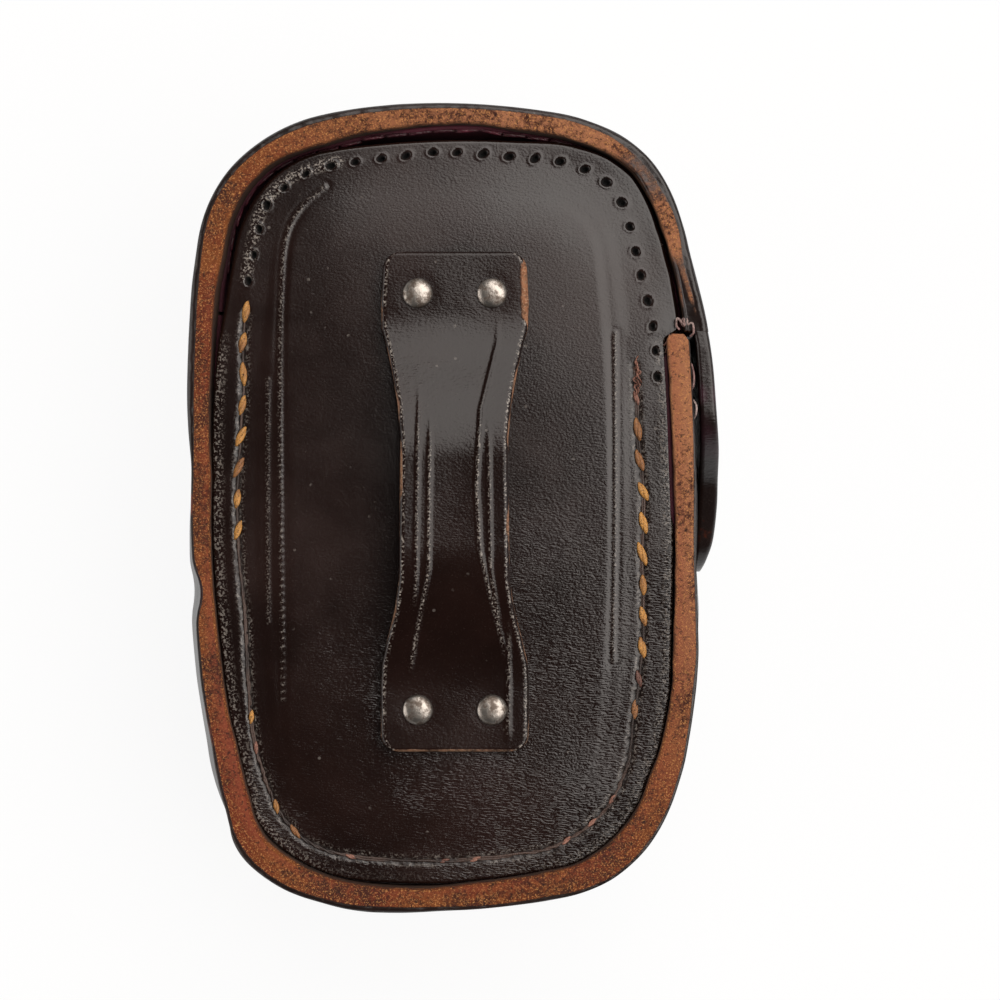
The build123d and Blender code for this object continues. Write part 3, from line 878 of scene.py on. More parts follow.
@dataclass(frozen=True)
class HandCut:
    """Uneven lines of the hand-cut wall, as distances inside the even outline.

    Rows of body and lid hold the way round, the silhouette, the start of the bare cut, the inner
    edge of the rim, and how far the wall swells below the rim. Rows of panel hold the way round
    and the panel's edge.
    """

    body: tuple = (
        (46, 0.7, 0.8, 3.6, 0), (60, 0.75, 0.8, 3.6, 0), (70, 0.62, 0.82, 3.55, 0),
        (75, 0.5, 0.88, 3.4, 0.1), (80, 0.45, 0.88, 3.2, 0.2), (85, 0.2, 0.65, 3.15, 0.6),
        (90, -0.12, 0.3, 3.05, 0.8), (95, -0.33, -0.1, 2.95, 0.4), (99, -0.3, 0, 2.65, 0.1),
        (104, -0.05, 0.15, 3, 0), (108, 0.25, 0.35, 3.45, 0), (112, 0.58, 0.7, 4.2, 0),
        (116, 0.5, 0.6, 4, 0), (122, 0.2, 0.35, 3.9, 0), (128, 0.15, 0.3, 3.8, 0),
        (133, 0.5, 0.75, 3.85, 0), (136.5, 0.75, 1.25, 4.25, 0), (141, 0.63, 1, 4, 0),
        (147, 0.4, 0.75, 3.7, 0), (151, 0.3, 0.85, 3.25, 0), (156, -0.1, 0.6, 3.05, 0),
        (161, -0.33, 0.35, 3, 0), (167, 0, 0.4, 3.2, 0), (172, -0.4, 0.1, 3.25, 0),
        (178, -0.55, 0, 3.1, 0), (182, -0.25, 0.6, 3.7, 0.3), (185, 0.25, 1.6, 4.5, 0.8),
        (190, 0.8, 2.1, 5, 1), (194, 0.88, 2.1, 4.8, 1.05), (198, 0.5, 1.7, 4.15, 1.1),
        (203, 0.25, 1.3, 3.9, 1.2), (210, 0, 1.15, 3.55, 1.3), (212.3, 0, 1.25, 3.45, 1.3),
        (213.3, 0, 1.95, 3.4, 1.3), (216.5, -0.1, 1.9, 3.25, 1.25), (218, -0.12, 1, 3.2, 1.2),
        (224, -0.1, 0.8, 3.1, 1), (230, 0.05, 0.9, 3.2, 0.55), *BY_THE_FOLD)
    lid: tuple = (
        (0, -0.12, 0.58, 2.58, 0), (5, -0.05, 0.58, 2.5, 0), (10, 0.12, 0.75, 2.95, 0),
        (15, 0.38, 1, 3.1, 0), (20, 0.35, 1, 3.05, 0), (24, 0, 0.75, 2.65, 0),
        (29, -0.17, 0.4, 2.38, 0), (34, 0, 0.6, 2.58, 0), (38, 0.08, 0.6, 2.6, 0),
        (42, -0.28, 0.45, 2.1, 0), (45, -0.78, 0.1, 1.6, 0), (50, -1.56, -0.85, 1.18, 0),
        (53, -1.9, -1.25, 1.1, 0), (60, -2, -1.3, 1.1, 0), *BY_THE_FOLD,
        (271, -0.1, 0.55, 2.88, 0), (276, 0.25, 1, 3.1, 0), (281, 0.45, 1.25, 3.8, 0),
        (286, 0.5, 1.25, 4.1, 0), (291, 0.15, 0.85, 3.3, 0), (296, -0.05, 0.63, 3, 0))
    panel: tuple = (
        (0, 4.5), (5, 4.4), (10, 4.3), (15, 4), (20, 3.65), (24, 3.1), (29, 2.75), (34, 3.05),
        (38, 3.15), (42, 2.75), (45, 2.25), (50, 1.85), (52.3, 1.9), (53.1, 3.72), (60, 3.75),
        (70, 3.65), (75, 3.5), (80, 3.3), (85, 3.25), (90, 3.15), (95, 3.05), (99, 2.8),
        (104, 3.1), (108, 3.55), (112, 4.3), (116, 4.15), (122, 4.1), (128, 4.05), (133, 4.05),
        (136.5, 4.4), (141, 4.2), (147, 4.05), (151, 3.85), (156, 3.75), (161, 3.65), (167, 3.75),
        (172, 3.85), (178, 3.9), (182, 4.15), (185, 4.8), (190, 5.2), (194, 5.05), (198, 4.55),
        (203, 4.2), (210, 3.85), (217, 3.55), (224, 3.45), (230, 3.5), (236, 3.45), (241, 3.45),
        (248, 3.6), (255, 3.95), (260, 4.35), (266, 4.55), (271, 4.6), (276, 4.65), (281, 4.75),
        (286, 4.95), (291, 4.8), (296, 4.65))

    @staticmethod
    def line(table: tuple, column: int, way: np.ndarray, span: float = 0.8) -> np.ndarray:
        """Softened value of a table's column.

        Args:
            table: One of the tables.
            column: Column after the way round, from 1.
            way: Ways round the outline.
            span: Distance between the five samples that are averaged.

        Returns:
            The values.
        """
        rows = np.array(table)
        taps = [np.interp(way + k * span, rows[:, 0], rows[:, column], period=TOTAL_WAY)
                * (3 - abs(k)) for k in (-2, -1, 0, 1, 2)]
        return sum(taps) / 9


@dataclass
class CupShell:
    """Moulded wall and front of the case: lower cup, lid, and the fold between them."""

    palette: Palette
    cut: HandCut = HandCut()
    depth: float = 37.0
    leather: float = 3.2
    front_radius: float = 7.0
    bevel: float = 1.1
    rim_corner: float = 0.4
    fold_y: float = 26.0
    mouth_right_y: float = 23.0
    mouth_gap: float = 0.5
    fold_half: float = 6.0
    fold_low_z: float = 7.5
    fold_reach_x: float = -20.0
    end_round: float = 1.3
    skin_z: float = 35.6
    wave_height: float = 0.05
    wave: Ripple = field(default_factory=lambda: Ripple(11, 22.0, 60.0))
    edge_wave: Ripple = field(default_factory=lambda: Ripple(13, 1.3, 6.0, 28))

    def __post_init__(self) -> None:
        self.fold_x = float(-PLAN.side_x(self.fold_y))
        run = float(PLAN.side_x(self.mouth_right_y)) - self.fold_x
        rise = self.mouth_right_y - self.fold_y
        size = hypot(run, rise)
        self.mouth_normal = np.array([-rise / size, run / size])

    def above_mouth(self, points: np.ndarray) -> np.ndarray:
        """Distance of points above the mouth line, towards the lid."""
        return (points[..., :2] - np.array([self.fold_x, self.fold_y])) @ self.mouth_normal

    def columns(self, lid: bool) -> dict[str, np.ndarray]:
        """The hand-cut lines at each column of the cup's grid."""
        table = self.cut.lid if lid else self.cut.body
        found = {name: self.cut.line(table, k + 1, WAY)
                 for k, name in enumerate(("outer", "start", "inner", "swell"))}
        found["edge"] = found["outer"] + (found["start"] - 0.2 - found["outer"]) * ease(
            0.0, 0.5, found["swell"])
        found["flare"] = ease(8, 20, OUTLINE[:, 0]) * lid
        return found

    def inner_inset(self, lid: bool, level: np.ndarray) -> np.ndarray:
        """How far inside the outline the wall's inner face lies at a height."""
        c = self.columns(lid)
        share = c["flare"] + (1 - c["flare"]) * ease(27.0, 34.5, level)
        return self.leather + (c["inner"] - self.leather) * share

    def _rows(self) -> list[Triple]:
        """Section of the cup from its front middle, up and over the rim, to its inner middle.

        Returns:
            Rows of inset, height and share of the plan's size.
        """
        front, top, wall, bevel = self.front_radius, self.depth, self.leather, self.bevel
        corner, inner = self.rim_corner, self.front_radius - self.leather
        flat_end = wall - corner

        def arc(count: int) -> list[tuple[float, float]]:
            return [(sin(a), cos(a)) for a in np.linspace(0, QUARTER, count)]

        rows = [(front, 0.0, s) for s in (0.12, 0.3, 0.5, 0.7, 0.86)]
        rows += [(front * (1 - a), front * (1 - b), 1.0) for a, b in arc(11)]
        rows += [(0.0, z, 1.0) for z in np.linspace(front, top - bevel, 24)[1:]]
        rows += [(bevel * (1 - b), top - bevel * (1 - a), 1.0) for a, b in arc(7)[1:]]
        rows += [(i, top, 1.0) for i in np.linspace(bevel, flat_end, 11)[1:]]
        rows += [(flat_end + corner * a, top - corner * (1 - b), 1.0) for a, b in arc(5)[1:]]
        rows += [(wall, z, 1.0) for z in
                 (36.3, 35.9, 35.2, 34.4, 33.5, 32.6, 30.0, 25.0, 20.0, 14.0, front)]
        rows += [(wall + inner * (1 - b), front - inner * a, 1.0) for a, b in arc(6)[1:]]
        return rows + [(front, wall, s) for s in (0.7, 0.4, 0.12)]

    def _grid(self, lid: bool) -> tuple[np.ndarray, dict[str, np.ndarray]]:
        """Points and layers of a whole cup, with the shapes that only the lid or the body has.

        Args:
            lid: True for the lid's cup, False for the body's.

        Returns:
            Grid of points, and the layers of its material by name.
        """
        rows = self._rows()
        lines = {inset: PLAN.ring(inset)[0] for inset in {r[0] for r in rows}}
        flat = np.array([lines[i] * s for i, _, s in rows])
        inset, level, part = (np.array(v)[:, None] * np.ones(len(OUTLINE)) for v in zip(*rows))
        full = part == 1.0
        past_rim = np.arange(len(rows))[:, None] > len(rows) / 2
        inner = (past_rim & (level < self.depth - 0.03)
                 & (inset > self.leather - self.rim_corner))
        top = ~inner & (level > self.depth - self.bevel)
        c = self.columns(lid)
        place, z = self._rim_place(inset, level, top, c)

        # the wall follows the hand-cut lines, most of all near its rim
        low_share = 0.3 + 0.7 * c["flare"]
        reach = low_share + (1 - low_share) * ease(18.0, 36.5, level)
        wall = c["edge"] * reach - c["swell"] * ease(36.6, 27.0, level) * ease(0, 14, level)
        share = np.clip(place / self.leather, 0, 1)
        over = wall * (1 - share) + (c["inner"] - self.leather) * share
        under = (self.inner_inset(lid, level) - self.leather) * ease(self.leather, 8.0, level)
        shift = np.where(inner, under, np.where(top, over, wall * ease(0, 6.0, level))) * full

        # small waves of the skin and of the cut
        points = np.dstack([flat, z])
        near_rim = ease(33.0, 36.8, level) * (level > 32)
        shift = shift + near_rim * 0.055 * self.edge_wave(points) * (inset > 2.7)
        shift = shift - self.wave_height * self.wave(points) * ease(0, 9, level) * full
        if not lid:
            pinch = self._pinch(points, level)
            shift = shift + pinch * (self.leather / 2 + 0.3 - inset) * 0.62
            points[..., 2] -= 0.55 * pinch * ease(34, 37, level)
        place = place + shift
        points[..., :2] = flat - OUTWARD[None] * (place - inset)[..., None]
        points[..., 2] += ease(self.depth - 1.2, self.depth - 0.3, level) * (
            self.wave_height * self.wave(points) - 0.10 + 0.045 * self.edge_wave(points * 1.7))

        raw = ease(c["start"] - 0.25, c["start"] + 0.45, place) * top
        raw = np.where(inner & (level > self.skin_z), 0.9, raw)
        x, y = flat[..., 0], flat[..., 1]
        if lid:
            skive = ease(40, 24, y) * (x > 0)
            thin = skive * ease(1.9 - 1.2 * skive, self.leather, inset) * top
            points[..., 2] -= 0.4 * thin * (inset > 1.3)
            bare = np.interp(WAY, [0, 18, 27, 32, 37.5, 39.5, 44, 48, 51, 60, 236, 302],
                             [1, 1, 0.50, 0.42, 0.74, 0.74, 0.46, 0.56, 0.4, 0.2, 1, 1])
            raw = raw * bare * (1 - 0.6 * ease(0.35, 0.75, thin))
        patch = np.exp(-(((x + 33) / 3) ** 2 + ((y - 0.5) / 2.2) ** 2)) * (level > 22)
        lower = ease(-18, -26, y) * ease(-52, -44, y) * (x < 10) * top
        red = (0.35 + 0.5 * ease(-8, -34, x) * ease(10, -30, y)) * (1 - lid * 0.8)
        return points, {
            "raw": raw, "flesh": (inner & (level < self.skin_z)).astype(float),
            "worn": (0.62 * patch + 0.34 * lower) * ~inner,
            "blush": red * top * ease(0.35, 0.95, place / np.clip(c["inner"], 1, None)),
            "shade": 0.6 * inner * ease(36.3, 35.0, level)}

    def _rim_place(self, inset: np.ndarray, level: np.ndarray, top: np.ndarray,
                   c: dict[str, np.ndarray]) -> tuple[np.ndarray, np.ndarray]:
        """Distance inside the outline and height of each point, with the bevel narrowed to the
        dyed band that the knife left."""
        small = np.clip(c["start"] - c["edge"], 0.25, self.bevel) / self.bevel
        flat_end = self.leather - self.rim_corner
        on_bevel = top & (inset <= self.bevel + 1e-6)
        on_flat = top & ~on_bevel & (inset <= flat_end + 1e-6)
        place = np.where(on_bevel, inset * small, inset)
        place = np.where(on_flat, small * self.bevel + (inset - self.bevel)
                         * (flat_end - small * self.bevel) / (flat_end - self.bevel), place)
        return place, np.where(on_bevel, self.depth - (self.depth - level) * small, level)

    def _pinch(self, points: np.ndarray, level: np.ndarray) -> np.ndarray:
        """How far the wall's end beside the lid is rounded off."""
        near = np.clip(self.end_round + self.above_mouth(points) + self.mouth_gap / 2, 0, None)
        near = (np.clip(near / self.end_round, 0, 1) * ease(8, 12, level)
                * (points[..., 0] > 20))
        return 1 - np.sqrt(np.clip(1 - near**2, 0, 1))

    def _whole(self, lid: bool, grid: tuple[np.ndarray, dict]) -> bmesh.types.BMesh:
        """A whole cup as an editable mesh, cut along the mouth and round the fold."""
        maker = Maker()
        maker.grid(grid[0], **grid[1])
        mesh = maker.mesh("cup")
        whole = bmesh.new()
        whole.from_mesh(mesh)
        bpy.data.meshes.remove(mesh)
        normal = (*self.mouth_normal, 0.0)
        mouth = np.array([self.fold_x, self.fold_y]) + self.mouth_normal * self.offset(lid)
        cuts = [((*mouth, 0.0), normal), ((0, 0, self.fold_low_z), (0, 0, 1))]
        cuts[1:1] = [((0, y, 0), (0, 1, 0)) for y in self.fold_ends()]
        for point, way in cuts:
            bmesh.ops.bisect_plane(whole, geom=[*whole.verts, *whole.edges, *whole.faces],
                                   dist=1e-7, plane_co=np.array(point) * MM, plane_no=way)
        return whole

    def fold_ends(self) -> tuple[float, float]:
        """Where the fold starts and ends along the case."""
        return self.fold_y - self.fold_half, self.fold_y + self.fold_half

    def offset(self, lid: bool) -> float:
        """Distance of a mouth face from the mouth line."""
        return self.mouth_gap / 2 if lid else -self.mouth_gap / 2

    def in_fold(self, centre) -> bool:
        """True where the wall belongs to the fold."""
        x, y, z = (c / MM for c in centre)
        return (x < self.fold_reach_x and z > self.fold_low_z
                and abs(y - self.fold_y) < self.fold_half)

    def beyond(self, centre, lid: bool) -> bool:
        """True on the lid's or the body's own side of the mouth."""
        far = float(self.above_mouth(np.array(centre) / MM))
        return far > self.offset(True) if lid else far < self.offset(False)

    @staticmethod
    def _cap(whole: bmesh.types.BMesh, on_face) -> None:
        """Closes the open edges that lie on a flat face with cut leather."""
        edges = [e for e in whole.edges if e.is_boundary and all(on_face(v.co) for v in e.verts)]
        ends = Counter(vert for edge in edges for vert in edge.verts)
        loose = sorted((v for v, n in ends.items() if n == 1), key=lambda v: (v.co.y, v.co.x))
        for a, b in zip(loose[::2], loose[1::2]):
            edges.append(whole.edges.get((a, b)) or whole.edges.new((a, b)))
        made = bmesh.ops.triangle_fill(whole, edges=edges, use_beauty=True)["geom"]
        faces = [g for g in made if isinstance(g, bmesh.types.BMFace)]
        split = bmesh.ops.split(whole, geom=faces)["geom"]
        found = {k: whole.verts.layers.float.get(k.value)
                 for k in (Layer.RAW, Layer.FLESH, Layer.SHADE, Layer.WORN)}
        for vert in (g for g in split if isinstance(g, bmesh.types.BMVert)):
            for kind, layer in found.items():
                if layer:
                    vert[layer] = 0.85 if kind is Layer.RAW else 0.0

    def part(self, name: str, grid: tuple[np.ndarray, dict], lid: bool, keep,
             material: Material, mouth_cap: bool = True) -> Thing:
        """Keeps the faces of a cup that a test allows, closes the cut faces and makes the piece.

        Args:
            name: Name of the piece.
            grid: Points and layers of the cup.
            lid: True for a piece of the lid.
            keep: Test of a face's middle.
            material: Material of the piece.
            mouth_cap: False where the mouth face isn't part of the piece.

        Returns:
            The piece.
        """
        whole = self._whole(lid, grid)
        gone = [f for f in whole.faces if not keep(f.calc_center_median())]
        bmesh.ops.delete(whole, geom=gone, context="FACES")
        place = self.offset(lid)

        def on_mouth(co) -> bool:
            return abs(float(self.above_mouth(np.array(co) / MM)) - place) < 4e-3

        def on_ledge(co) -> bool:
            return abs(co.z / MM - self.fold_low_z) < 4e-4 and co.x / MM < self.fold_reach_x

        if mouth_cap:
            self._cap(whole, on_mouth)
        self._cap(whole, on_ledge)
        bmesh.ops.recalc_face_normals(whole, faces=whole.faces)
        mesh = bpy.data.meshes.new(name)
        whole.to_mesh(mesh)
        whole.free()
        mesh.shade_smooth()
        return add_piece(name, mesh, material)

    def build(self) -> None:
        """Builds the three pieces and sets the lower cup and the lid on their bodies."""
        leather = self.palette.shell
        body = self.part("case_shell", self._grid(False), False,
                         lambda c: self.beyond(c, False) and not self.in_fold(c), leather)
        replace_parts(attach(body, Body.CASE.value), "body_shell")
        lid = self.part("lid_cup", self._grid(True), True,
                        lambda c: self.beyond(c, True) and not self.in_fold(c), leather)
        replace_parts(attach(lid, Body.LID.value), "lid_shell")
        fold = self.part("wall_fold", self._grid(False), False, self.in_fold, leather, False)
        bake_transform(fold)


@dataclass
class Lining:
    """Thin red-purple skin inside the cup and the lid."""

    palette: Palette
    shell: CupShell
    skin: float = 0.5
    clear: float = 0.04

    def _grid(self, lid: bool) -> tuple[np.ndarray, dict]:
        """Points of a whole lining."""
        near_top = np.minimum(WAY, TOTAL_WAY - WAY)
        if lid:
            top = 32.0 + 2.6 * bell((near_top - 1) / 13)
        else:
            top = 32.0 + 3.2 * ease(52, 56, WAY) * ease(86, 76, WAY)
        low, radius = self.shell.leather, self.shell.front_radius
        rows = []
        for extra, order in ((self.clear, 1), (self.clear + self.skin, -1)):
            flat = [(PLAN.ring(radius)[0] * s, low + extra) for s in (0.12, 0.4, 0.7)]
            for a in np.linspace(0, QUARTER, 6)[:-1]:
                bend = radius - low - extra
                flat.append((PLAN.ring(radius - bend * sin(a))[0],
                             low + extra + bend * (1 - cos(a))))
            part = [np.column_stack([p, np.full(len(p), z)]) for p, z in flat]
            for u in (0.0, 0.2, 0.4, 0.6, 0.75, 0.85, 0.92, 0.97, 1.0):
                z = radius + (top - radius) * u - 0.12 * (u == 1.0) * (order == -1)
                part.append(np.column_stack([inside(self.shell.inner_inset(lid, z) + extra), z]))
            rows += part[::order]
        return np.array(rows), {}

    def build(self) -> None:
        """Builds both linings."""
        for lid, body, name in ((False, Body.CASE, "body_lining"), (True, Body.LID, "lid_lining")):
            piece = self.shell.part(f"{name}_skin", self._grid(lid), lid,
                                    lambda c, lid=lid: self.shell.beyond(c, lid),
                                    self.palette.lining)
            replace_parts(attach(piece, body.value), name)


@dataclass
class BackPanel:
    """Thick leather panel sewn into the rim: rounded edge, pricked holes, seam groove, creases."""

    palette: Palette
    cut: HandCut = HandCut()
    top_z: float = 35.2
    under_z: float = 32.6
    even_margin: float = 4.1
    edge_round: float = 0.5
    closer: float = 0.35
    band_end: float = 5.6
    density: float = 1.36
    stitch_pitch: float = 4.05
    hole_pitch: float = 3.22
    sewn_from: float = 56.5
    sewn_to: float = 252.5
    pricked_from: float = 256.5
    pricked_to: float = 58.4
    seam_line: tuple = (
        (46, 8.1), (65, 8.05), (70, 7.9), (74, 7.4), (78, 7.45), (82, 7.6), (86, 7.3), (90, 7.15),
        (95, 7), (98, 7.15), (105, 7.5), (112, 7.45), (128, 7.4), (140, 6.9), (155, 6.5),
        (165, 6.4), (173, 6.25), (180, 6.8), (186, 7.5), (191, 7.5), (196, 7.15), (204, 7.1),
        (210, 7.3), (215, 7), (218, 6.75), (228, 6.55), (235, 6.9), (243, 7), (248, 6.5),
        (253, 6.7))
    hole_line: tuple = (
        (0, 6.15), (10, 6.4), (13, 6.55), (16, 6.5), (20, 6.3), (24.5, 5.95), (29, 5.95),
        (34, 6.4), (38.5, 6.75), (42, 6.55), (45.6, 6.15), (48.6, 5.65), (51.6, 5.25), (58, 5.1),
        (255.5, 6.6), (259.5, 6.85), (263.7, 7.05), (268, 6.65), (272.7, 6.5), (277.4, 6.75),
        (282.2, 7.05), (286.8, 7.1), (290.4, 6.9), (293.7, 6.7), (297, 6.4))
    creases: tuple = (
        ((-15.6, 42.3), (-18.9, 39.2), (-20.7, 35.3), (-21.3, 28.0), (-21.5, 17.0), (-21.4, 0.0),
         (-21.1, -25.0)),
        ((22.5, 23.0), (22.6, 0.0), (22.3, -20.0)),
        ((-23.1, 17.0), (-23.1, 0.0), (-23.0, -15.0)))

    def ring(self, depth: float, density: float | None = None) -> np.ndarray:
        """Points of a line at a distance inside the panel's uneven edge."""
        plan, normals = PLAN.ring(0.0, density=density or self.density)
        far = way_along(plan)
        way = far * TOTAL_WAY / far[-1] * (1 - 1 / len(far))
        margin = self.cut.line(self.cut.panel, 1, way, 0.25)
        near = np.maximum(self.cut.line(self.cut.body, 3, way) + 0.12, margin - self.closer)
        margin = margin + (near - margin) * ease(58, 62, way) * ease(254, 246, way)
        inset = depth + margin + (self.even_margin - margin) * ease(1.5, 8.0, depth)
        return plan - normals * inset[:, None]

    def _path(self, table: tuple, start: float, end: float) -> np.ndarray:
        """Line round the panel from one way round to another, clockwise."""
        points = inside(self.cut.line(table, 1, WAY))
        order = (np.arange(len(WAY)) + int(np.searchsorted(WAY, start))) % len(WAY)
        reached = (WAY[order] - start) % TOTAL_WAY <= (end - start) % TOTAL_WAY
        return points[order][reached]

    def seam(self) -> np.ndarray:
        """Line of the hand-sewn seam, open at the lid."""
        return self._path(self.seam_line, self.sewn_from, self.sewn_to)

    def pricked(self) -> np.ndarray:
        """Line of the holes that hold no thread, from the left side over the top to the right."""
        return self._path(self.hole_line, self.pricked_from, self.pricked_to)

    def surface_z(self, depth, y) -> np.ndarray:
        """Height of the top face at a distance inside the edge."""
        depth, y = np.asarray(depth, float), np.asarray(y, float)
        crisp = ease(47, 33, np.abs(y + 4)) * (1 - 0.55 * ease(-22, -34, y))
        two = 0.07 * (1 - ease(5.0, 6.6, depth)) + 0.09 * (1 - ease(6.6, 8.2, depth))
        wide = (0.28 + 0.55 * ease(-14, -36, y)) * (1 - ease(2.0, 15.0, depth))
        edge = np.clip(self.edge_round - depth, 0, self.edge_round)
        rounding = self.edge_round - np.sqrt(self.edge_round**2 - edge**2)
        return self.top_z - crisp * two - (1 - crisp) * wide - rounding

    @staticmethod
    def _far(flat: np.ndarray, line: np.ndarray) -> np.ndarray:
        """Distance of points from the nearest point of a line."""
        far = np.full(flat.shape[:-1], 99.0)
        for part in np.array_split(line, max(1, len(line) // 12)):
            gap = np.linalg.norm(flat[..., None, :] - part, axis=-1).min(axis=-1)
            far = np.minimum(far, gap)
        return far

    def _prick(self, points: np.ndarray, band: np.ndarray, shade: np.ndarray) -> None:
        """Presses the open holes into the top face."""
        rng = np.random.default_rng(5)
        holes, ways = along_line(self.pricked(), self.hole_pitch, closed=False)
        holes = np.vstack([holes, [[1.75, 42.3]]])
        ways = np.vstack([ways, [[0.0, 1.0]]])
        flat = points[band][..., :2]
        for hole, way in zip(holes, ways):
            hole = hole + rng.normal(0, 0.08, 2)
            turn = rng.normal(0.35, 0.2)
            long = np.array([way[0] * cos(turn) - way[1] * sin(turn),
                             way[0] * sin(turn) + way[1] * cos(turn)])
            off = flat - hole
            u, v = off @ long, off @ np.array([-long[1], long[0]])
            r = np.sqrt((u / 0.66) ** 2 + (v / 0.46) ** 2) / rng.uniform(0.88, 1.1)
            points[band, :, 2] -= 1.15 * ease(1.0, 0.45, r)
            points[band, :, 2] += 0.035 * bell((r - 1.3) / 0.3)
            shade[band] = np.maximum(shade[band], 0.97 * ease(1.08, 0.7, r))

    def build(self) -> None:
        """Builds the panel."""
        depths = [*np.linspace(0, self.edge_round, 7), *np.arange(0.7, 5.6, 0.19),
                  *np.arange(5.7, 8.8, 0.17), *np.arange(9.2, 14.6, 0.9)]
        rings = [self.ring(d) for d in depths]
        hub = np.array([0.0, -0.4])
        plan = np.array([*rings, *[hub + (rings[-1] - hub) * s
                                   for s in (0.9, 0.72, 0.54, 0.36, 0.18)]])
        depth = np.array([*depths, *[16.0] * 5])[:, None] * np.ones(plan.shape[1])
        points = np.dstack([plan, self.surface_z(depth, plan[..., 1])])
        points[..., 2] += 0.05 * Ripple(31, 14.0, 45.0)(points) * ease(0.5, 3.0, depth)
        shade, pale = np.zeros(depth.shape), np.zeros(depth.shape)
        band = depth[:, 0] < self.band_end
        seam = self.seam()
        gap = self._far(points[band][..., :2], seam[::3])
        lump = 1 + 0.4 * Ripple(32, 1.0, 3.0, 26)(points[band])
        points[band, :, 2] -= 0.18 * lump * bell(gap / 0.42)
        # painted glints: pale grain sparks beside the seam groove and in the sewn band by the edge
        pale[band] = 0.3 * lump * bell((gap - 0.6) / 0.3)
        sewn = ease(24, 20, points[band][..., 1]) * ease(-50, -44, points[band][..., 1])
        pale[band] += 0.42 * sewn * ease(0.1, 0.4, depth[band]) * ease(1.9, 0.8, depth[band])
        shade[band] = 0.6 * bell(gap / 0.45)
        self._prick(points, band, shade)
        holes = self.pricked()
        left = holes[holes[:, 0] < -13]
        flat = points[band][..., :2]
        # painted glints: pale grain sparks just outside the open holes on the left
        outside = ease(1.1, 0.4, self._far(flat, left[::3] + np.array([-0.35, 0.30])))
        pale[band] = np.maximum(pale[band], 0.62 * outside * (shade[band] < 0.4))
        wide = (depth[:, 0] > 3.5) & (depth[:, 0] < 14.0)
        # raised crease ridges, with painted glints along their tops
        for line, tall, share in zip(self.creases, (0.05, 0.05, 0.03), (0.5, 0.5, 0.3)):
            far = self._far(points[wide][..., :2], spline(line, 160))
            ridge = bell(far / 0.24)
            points[wide, :, 2] += tall * ridge - 0.5 * tall * bell((far - 0.6) / 0.3)
            pale[wide] = np.maximum(pale[wide], share * ridge)
        for spot in along_line(seam, self.stitch_pitch / 2, closed=False)[0]:
            r = np.linalg.norm(flat - spot, axis=-1)
            points[band, :, 2] -= 0.14 * ease(0.7, 0.2, r)
        edge = self.ring(0.0)
        under = [(edge, self.top_z - self.edge_round - 0.5), (edge, self.under_z),
                 (self.ring(3.0), self.under_z), (self.ring(9.0), self.under_z),
                 (hub + (rings[-1] - hub) * 0.5, self.under_z)]
        lower = np.array([np.column_stack([p, np.full(len(p), h)]) for p, h in under])
        flesh = np.array([0, 0.3, 1, 1, 1])[:, None] * np.ones(plan.shape[1])
        zero = np.zeros(flesh.shape)
        maker = Maker()
        maker.grid(np.concatenate([lower[::-1], points]),
                   flesh=np.concatenate([flesh[::-1], np.zeros(depth.shape)]),
                   pale=np.concatenate([zero, pale]), shade=np.concatenate([zero, shade]))
        piece = maker.piece("panel_leather", self.palette.panel)
        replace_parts(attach(piece, Body.CASE.value), "back_panel")

    def height_at(self, spots: np.ndarray) -> np.ndarray:
        """Height of the panel under places near its edge."""
        return self.surface_z(self._far(spots, self.ring(0.0, 1.0)), spots[:, 1])


